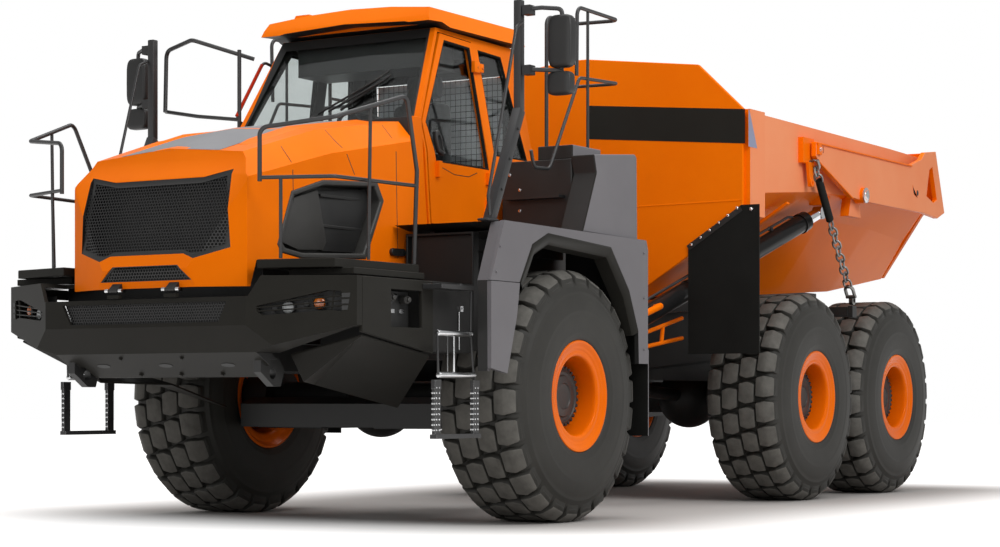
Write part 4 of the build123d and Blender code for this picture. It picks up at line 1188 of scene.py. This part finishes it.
def cabinet_fittings():
    """Latches, hinges and bolts on the boxes and cabinets, and the tread on the platform's wall."""
    bm = bmesh.new()
    for z in (1548, 1703):
        block(bm, (1248, 1490, z - 20), (1282, 1516, z + 20), 1)
    side_bolts(bm, 1516, [(1265, 1548), (1265, 1703)], 0.016, 1)
    rod(bm, (1268, 1496, 1262), (1268, 1496, 1535), 0.006, 8, 1)
    block(bm, (560, 880, 2090), (870, 902, 2110))
    block(bm, (590, 872, 1985), (850, 892, 2095))
    side_bolts(bm, 892, [(620, 2010), (820, 2010)], 0.014, 1)
    for y, z in ((1100, 2520), (1100, 2360), (1010, 2640)):
        hex_bolt(bm, at(-208, y, z), (1, 0, 0), 0.018, 1)
    side_bolts(bm, 1560, [(-780, 2700), (-300, 2700)], 0.018, 1)
    block(bm, (-210, 1010, 2440), (-115, 1500, 2462))
    mirrored(bm)
    piece("cabinet_fittings", bm, "chassis", [moulded, steel])


cabinet_fittings()


LADDER_Y = 1671   # the plane of the treads and rods
STUD = [(0.0, 0.0035), (0.0065, 0.003), (0.0075, 0.0)]


def access_ladders():
    """Two bright round treads between thin side rods, and studded rubber straps to a foot step."""
    bm = bmesh.new()
    for x0, z0, x1, z1, radius, count, finish in (
            (1820, 1365, 1395, 1365, 0.0215, 20, 0), (1805, 1080, 1352, 1080, 0.0215, 20, 0),
            (1818, 1365, 1806, 1080, 0.008, 10, 1), (1392, 1660, 1398, 1365, 0.008, 10, 1),
            (1398, 1365, 1345, 1010, 0.008, 10, 1), (1610, 1365, 1610, 1080, 0.007, 8, 0),
            (1690, 1365, 1690, 1090, 0.004, 8, 1)):
        rod(bm, (x0, LADDER_Y, z0), (x1, LADDER_Y, z1), radius, count, finish)
    for x in (1830, 1340):
        block(bm, (x - 35, 1657, 676), (x + 35, 1683, 1046), 1)
        block(bm, (x - 40, 1655, 985), (x + 40, 1686, 1046), 1)
        for z in range(705, 1029, 36):
            for column, edge_y in ((-17, 1662), (17, 1677.3)):
                turned(bm, STUD, at(x + column, 1683, z), (0, 1, 0), 10)
                turned(bm, STUD, at(x + 35, edge_y, z), (1, 0, 0), 10)
    block(bm, (1300, 1640, 646), (1864, 1697, 676), 1)
    block(bm, (1385, 1533, 1668), (1790, 1690, 1700), 1)
    soften(bm, 0.002, 40, 1)
    mirrored(bm)
    piece("access_ladders", bm, "chassis", [steel, rail_black], ("access_steps",))


access_ladders()


# ------------------------------------------------------------ bed and tailgate
panel("bed_front_wall", [orange], 0.008)
# the upper part of the bed's sides takes the paler orange: painted highlight
panel("bed_sides", [orange, painted_highlight_orange], 0.006,
      lambda x, y, z, n: 1 if z > 2800 and abs(n.y) > 0.93 else 0, 20, 2)
panel("bed_floor", [orange, chassis_black], 0.006,
      lambda x, y, z, n: 1 if 540 < abs(y) < 645 and z < 2060 and abs(n.y) > 0.5 else 0, 20, 2)
# the arms' side faces take the paler orange: painted highlight
panel("tailgate_arms", [orange, painted_highlight_orange], 0.006, lambda x, y, z, n: 1 if abs(n.y) > 0.7 else 0)
panel("tailgate_plate", [orange], 0.006)


BED_FRONT_X = -3018   # the front faces of the bed and of its mudflaps
FLAP_X = -3005


def bed_trim():
    """Blank dark band and crease on the bed's front wall, ribs, and the brackets for the tailgate."""
    bm = bmesh.new()
    side_plate(bm, 1700.5, [(-3022, 3090), (-3022, 3410), (-3040, 3410), (-3200, 3090)], 0.0015, 2)
    plate(bm, points((-3019, 200, 2625), (-3019, 1640, 2640), (-3015, 1640, 2628), (-3015, 200, 2613)),
          (0, 0, 1), 0.004)
    for x in (-3940, -6200):
        low_z = between(-x, [(3400, 2310), (4465, 2540), (5400, 2620), (6400, 2620)])
        rib = points((x, 1205, low_z - 8), (x, 1640, low_z + 260), (x - 60, 1640, low_z + 262),
                     (x - 60, 1205, low_z - 6))
        plate(bm, rib, (0, 0.4, -0.9), 0.022)
    block(bm, (-4420, 1648, 3060), (-4180, 1700, 3290))
    side_plate(bm, 1690, [(-4380, 3070), (-4250, 3070), (-4300, 2850), (-4345, 2850)], 0.028)
    turned(bm, [(0.018, 0), (0.034, 0), (0.034, 0.012), (0.018, 0.012)], at(-4322, 1718, 2880), count=18,
           closed=True)
    soften(bm, 0.003, 30, 1)
    mirrored(bm)
    band = [(110, 3262), (135, 3248), (1672, 3118), (1672, 3414), (135, 3548), (110, 3536)]
    plate(bm, [at(BED_FRONT_X + 0.5, y, z) for y, z in band], (1, 0, 0), 0.0015, 1)
    piece("bed_trim", bm, "bed", [orange, charcoal, film])


def flap_clamps():
    """The strip that clamps each mudflap's slanted edge, and its bolts."""
    bm = bmesh.new()
    for k in range(6):
        t = k / 5
        hex_bolt(bm, at(FLAP_X, 1165 + 440 * t, 2262 + 300 * t), (1, 0, 0), 0.022)
    hex_bolt(bm, at(FLAP_X, 1735, 2550), (1, 0, 0), 0.022)
    edge = [(at(FLAP_X, 1130 + 510 * t, 2266 + 324 * t) - Vector((0, 0, 0.03)), Vector((1, 0, 0)))
            for t in (0, 0.25, 0.5, 0.75, 1)]
    strip(bm, edge, 0.05, 0.004, 1)
    mirrored(bm)
    piece("flap_clamps", bm, body_of("bed_mudflaps"), [steel, chassis_black])


bed_trim()
flap_clamps()


def gate_trim():
    """Pivot bosses, stiffening lips, bolted pads and dark slots on the tailgate's arms."""
    bm = bmesh.new()
    turned(bm, [(0.02, 0), (0.075, 0), (0.075, 0.01), (0.048, 0.014), (0.045, 0.02), (0.02, 0.022)],
           at(-5400, 1800, 2850), (0, 1, 0), 28, 1)
    for x0, z0, x1, z1 in ((-4320, 3255, -6660, 3252), (-5150, 2815, -4380, 3080)):
        side_plate(bm, 1765, [(x0, z0 - 4), (x1, z1 - 4), (x1, z1 - 18), (x0, z0 - 18)], 0.016)
    side_plate(bm, 1762, [(-4330, 3245), (-4400, 3245), (-4400, 3140), (-4330, 3140)], 0.024)
    side_bolts(bm, 1786, [(-4365, 3190)], 0.03, 1)
    for outline in ([(-4470, 3225), (-4482, 3225), (-4482, 3165), (-4470, 3165)],
                    [(-6700, 3060), (-6760, 2960), (-6815, 2945), (-6720, 2985)]):
        side_plate(bm, 1766, outline, 0.003, 2)
    turned(bm, [(0.0, 0.0), (0.03, 0.0), (0.03, 0.003)], at(-6830, 1765, 2985), (0, 1, 0), 18, 2)
    soften(bm, 0.002, 30, 1)
    mirrored(bm)
    piece("gate_trim", bm, "tailgate", [orange, steel, chassis_black])


gate_trim()

CHAIN_TOP, CHAIN_LOW = (-4285, 1740, 3130), (-5300, 1705, 1850)
SLEEVE_LOW, SLEEVE_HIGH = 0.93, 1.36   # metres up the chain


def link(bm, centre, along, across, length, wire):
    """One oval chain link."""
    wide = wire * 1.75
    path = []
    for turn in turns(20):
        straight = (length / 2 - wide) * (1 if cos(turn) > 0 else -1)
        path.append(centre + along * (straight + wide * cos(turn)) + across * wide * sin(turn))
    swept(bm, path, wire / 2, 8, closed=True)


def shackle(bm, centre, reach):
    """A bow shackle; reach points from its pin to the chain."""
    path = [centre - reach * 0.02 + Vector((0, 0.038, 0))]
    for j in range(17):
        bend = pi * j / 16
        path.append(centre + reach * (0.035 + 0.045 * sin(bend)) + Vector((0, 0.038 * cos(bend), 0)))
    path.append(centre - reach * 0.02 - Vector((0, 0.038, 0)))
    swept(bm, path, 0.016, 10)


def gate_chain(side_name, side):
    """Shackles, oval links and a black sleeve along the line between the two eyes."""
    bm = bmesh.new()
    top, low = [at(x, side * y, z) for x, y, z in (CHAIN_TOP, CHAIN_LOW)]
    along = (top - low).normalized()
    length = (top - low).length
    flat = Vector((0, 1, 0)).cross(along).normalized()
    across = along.cross(flat)
    pitch, wire = 0.074, 0.021
    place, k = 0.2, 0
    while place < length - 0.1:
        if not SLEEVE_LOW < place < SLEEVE_HIGH:
            link(bm, low + along * place, along, flat if k % 2 else across, pitch + wire, wire)
        place += pitch
        k += 1
    shackle(bm, low + along * 0.085, along)
    shackle(bm, top - along * 0.075, -along)
    pin, eye = Vector((0, 0.05, 0)), along * 0.045
    bar(bm, low - pin + eye, low + pin + eye, 0.017)
    collar = [(0.02, -0.022), (0.042, -0.018), (0.042, 0.018), (0.02, 0.022)]
    turned(bm, collar, low, count=22, closed=True)
    rings = []
    for share, radius in ((0.92, 0.03), (0.925, 0.034), (1.14, 0.035), (1.36, 0.034), (1.365, 0.03)):
        rings.append([low + along * share + (flat * cos(turn) * 1.25 + across * sin(turn)) * radius
                      for turn in turns(18)])
    grid(bm, rings, caps=True, finish=1)
    for share in (0.96, 1.32):
        hex_bolt(bm, low + along * share + across * -0.034 * side, (0, side, 0), 0.014)
    piece(f"gate_chain_{side_name}", bm, f"chain_{side_name}", [chain_steel, sheet_rubber],
          (f"tailgate_chain_{side_name}",))


def hoist_detail(side_name, side):
    """Gland, two bands, feed pipe and its clamps on the hoist's barrel."""
    bm = bmesh.new()
    base, eye = at(-2400, side * 842, 1535), at(-4850, side * 1560, 2655)
    along = (eye - base).normalized()
    length = (eye - base).length
    out = along.cross(Vector((0, 0, 1))).cross(along).normalized()
    end = length - 0.21
    turned(bm, [(0.06, 0), (0.096, 0), (0.096, 0.03), (0.09, 0.036), (0.09, 0.09), (0.06, 0.094)],
           base + along * (end - 0.09), along, 36, 0, closed=True)
    for share in (0.3, 0.62):
        turned(bm, [(0.08, 0), (0.091, 0), (0.091, 0.026), (0.08, 0.026)],
               base + along * length * share, along, 36, 1, closed=True)
    pipe = [base + along * 0.22 + out * 0.09, base + along * 0.24 + out * 0.118,
            base + along * (end - 0.22) + out * 0.118, base + along * (end - 0.16) + out * 0.095]
    bent_pipe(bm, pipe, 0.013, 0.03, 10, 2)
    for share in (0.35, 0.55, 0.75):
        centre, half = base + along * length * share + out * 0.105, Vector((0.02, 0.018, 0.02))
        box_between(bm, centre - half, centre + half, 2)
    piece(f"hoist_fittings_{side_name}", bm, f"hoist_barrel_{side_name}",
          [cylinder_black, moulded, rail_black])


for side_name, side in (("left", 1), ("right", -1)):
    gate_chain(side_name, side)
    hoist_detail(side_name, side)


def frame_dressing():
    """Hoses and clamps behind the hitch, orange rails by the hoist and plates along the frame."""
    bm = bmesh.new()
    for y in (-180, -120, -60, 0):
        hose = points((-2460, y, 1380), (-2600, y, 1420), (-2900, y + 40, 1450), (-3300, y + 30, 1400))
        bent_pipe(bm, hose, 0.018, 0.08, 10)
    for x in (-2560, -2760):
        block(bm, (x - 20, -260, 1330), (x + 20, 120, 1352), 1)
    for side in (1, -1):
        for x0, z0, x1, z1 in ((-2700, 1490, -3423, 1642), (-2700, 1369, -3423, 1463),
                               (-3020, 1411, -3050, 1560)):
            rod(bm, (x0, side * 860, z0), (x1, side * 860, z1), 0.018, 12, 2)
        block(bm, (-5950, side * 440 - 6, 1090), (-3350, side * 440 + 6, 1340), 3)
    piece("rear_frame_hoses", bm, "rear_chassis", [sheet_rubber, steel, orange, chassis_black])


frame_dressing()


def hoist_foot_guard():
    """The orange guard bar round the left hoist's foot."""
    bm = bmesh.new()
    line = points((-2700, 930, 1700), (-2600, 1080, 1720), (-2300, 1080, 1640), (-2250, 800, 1600))
    bent_pipe(bm, line, 0.028, 0.08)
    piece("hoist_foot_guard", bm, "rear_chassis", [orange])


hoist_foot_guard()


# ------------------------------------------------------------ stage, light and camera
FLOOR_LIFT = 0.0   # the floor's own glow right under the truck
FLOOR_HALF = 60
FOOTPRINT_CENTRE = (-0.9, 0.0, 0.0)   # the ground the six tyres stand on
FOOTPRINT_HALF = (3.6, 1.7, 0.0)      # past it the floor brightens to pure white


def any_ray(material, *kinds):
    """One for a ray of any of these kinds, zero for the rest."""
    path = add(material, "LightPath", {})
    seen = path.outputs[kinds[0]]
    for kind in kinds[1:]:
        seen = add(material, "Math", {0: seen, 1: path.outputs[kind]}, operation="MAXIMUM").outputs["Value"]
    return seen


def backdrop_floor():
    """Matt white studio floor: pure white far off; near the truck its glow fades out, painted shade round
    the footprint on top of the truck's real soft shadow.
    """
    material, shader = start("white_studio_floor", 0.95, {
        "Specular IOR Level": 0.05, "Base Color": linear("#b5b1ae")})
    seen = any_ray(material, "Is Camera Ray", "Is Glossy Ray", "Is Transmission Ray")
    past = add(material, "TexCoord", {}).outputs["Object"]
    for operation, other in (("SUBTRACT", FOOTPRINT_CENTRE), ("ABSOLUTE", (0, 0, 0)),
                             ("SUBTRACT", FOOTPRINT_HALF), ("MAXIMUM", (0, 0, 0))):
        past = add(material, "VectorMath", {0: past, 1: other}, operation=operation).outputs["Vector"]
    reach = add(material, "VectorMath", {0: past}, operation="LENGTH")
    # the glow fades out towards the footprint: painted shade near the truck
    lift = add(material, "MapRange", {"Value": reach.outputs["Value"], "From Min": 0.1, "From Max": 2.6,
                                      "To Min": FLOOR_LIFT, "To Max": 1.0}, interpolation_type="SMOOTHSTEP")
    power = add(material, "Math", {0: seen, 1: lift.outputs["Result"]}, operation="MULTIPLY")
    glow = add(material, "Emission", {"Color": linear("#ffffff"), "Strength": power.outputs["Value"]})
    both = add(material, "AddShader", {0: shader.outputs["BSDF"], 1: glow.outputs["Emission"]})
    feed(material, material.node_tree.nodes["Material Output"], {"Surface": both.outputs["Shader"]})
    return material


bm = bmesh.new()
grid(bm, [[Vector((x, y, 0)) for y in (-FLOOR_HALF, FLOOR_HALF)] for x in (-FLOOR_HALF, FLOOR_HALF)],
     close_ring=False)
floor_mesh = bpy.data.meshes.new("floor")
bm.to_mesh(floor_mesh)
bm.free()
floor_mesh.materials.append(backdrop_floor())
floor = bpy.data.objects.new("floor", floor_mesh)
bpy.context.scene.collection.objects.link(floor)

WORLD_STRENGTH = 0.55
world = bpy.data.worlds.new("studio")
bpy.context.scene.world = world
world.use_nodes = True
world.node_tree.nodes.clear()
seen = any_ray(world, "Is Camera Ray", "Is Transmission Ray")
soft = add(world, "Background", {"Color": linear("#ffffff"), "Strength": WORLD_STRENGTH})
white = add(world, "Background", {"Color": linear("#ffffff"), "Strength": 1.0})
sky = add(world, "MixShader", {0: seen, 1: soft.outputs["Background"], 2: white.outputs["Background"]})
add(world, "OutputWorld", {"Surface": sky.outputs["Shader"]})


def softbox(name, place, target, size, power):
    """A square area lamp that looks at a point."""
    data = bpy.data.lights.new(name, "AREA")
    data.shape = "RECTANGLE"
    data.size, data.size_y = size
    data.energy = power
    lamp = bpy.data.objects.new(name, data)
    bpy.context.scene.collection.objects.link(lamp)
    lamp.location = place
    lamp.rotation_euler = (Vector(target) - Vector(place)).to_track_quat("-Z", "Y").to_euler()


softbox("key_over_left", (5, 13, 11), (0, 0, 1.5), (8, 6), 1150)
softbox("front_fill", (16, 3, 6), (3, 0, 1.5), (6, 5), 260)
softbox("top", (0, 0, 13), (0, 0, 0), (12, 7), 800)

# Low three-quarter view of the front and the left side
CAMERA_PLACE = at(14530, 9990, 910)
CAMERA_TURN = radians(121.6)
CAMERA_LENS = 80.73
CAMERA_SHIFT = 0.1264
camera_data = bpy.data.cameras.new("camera")
camera_data.sensor_width = 36
camera_data.lens = CAMERA_LENS
camera_data.shift_y = CAMERA_SHIFT
camera_data.clip_end = 200
camera = bpy.data.objects.new("camera", camera_data)
bpy.context.scene.collection.objects.link(camera)
camera.location = CAMERA_PLACE
camera.rotation_euler = (radians(90), 0, CAMERA_TURN)
bpy.context.scene.camera = camera
bpy.context.scene.view_settings.view_transform = "Standard"
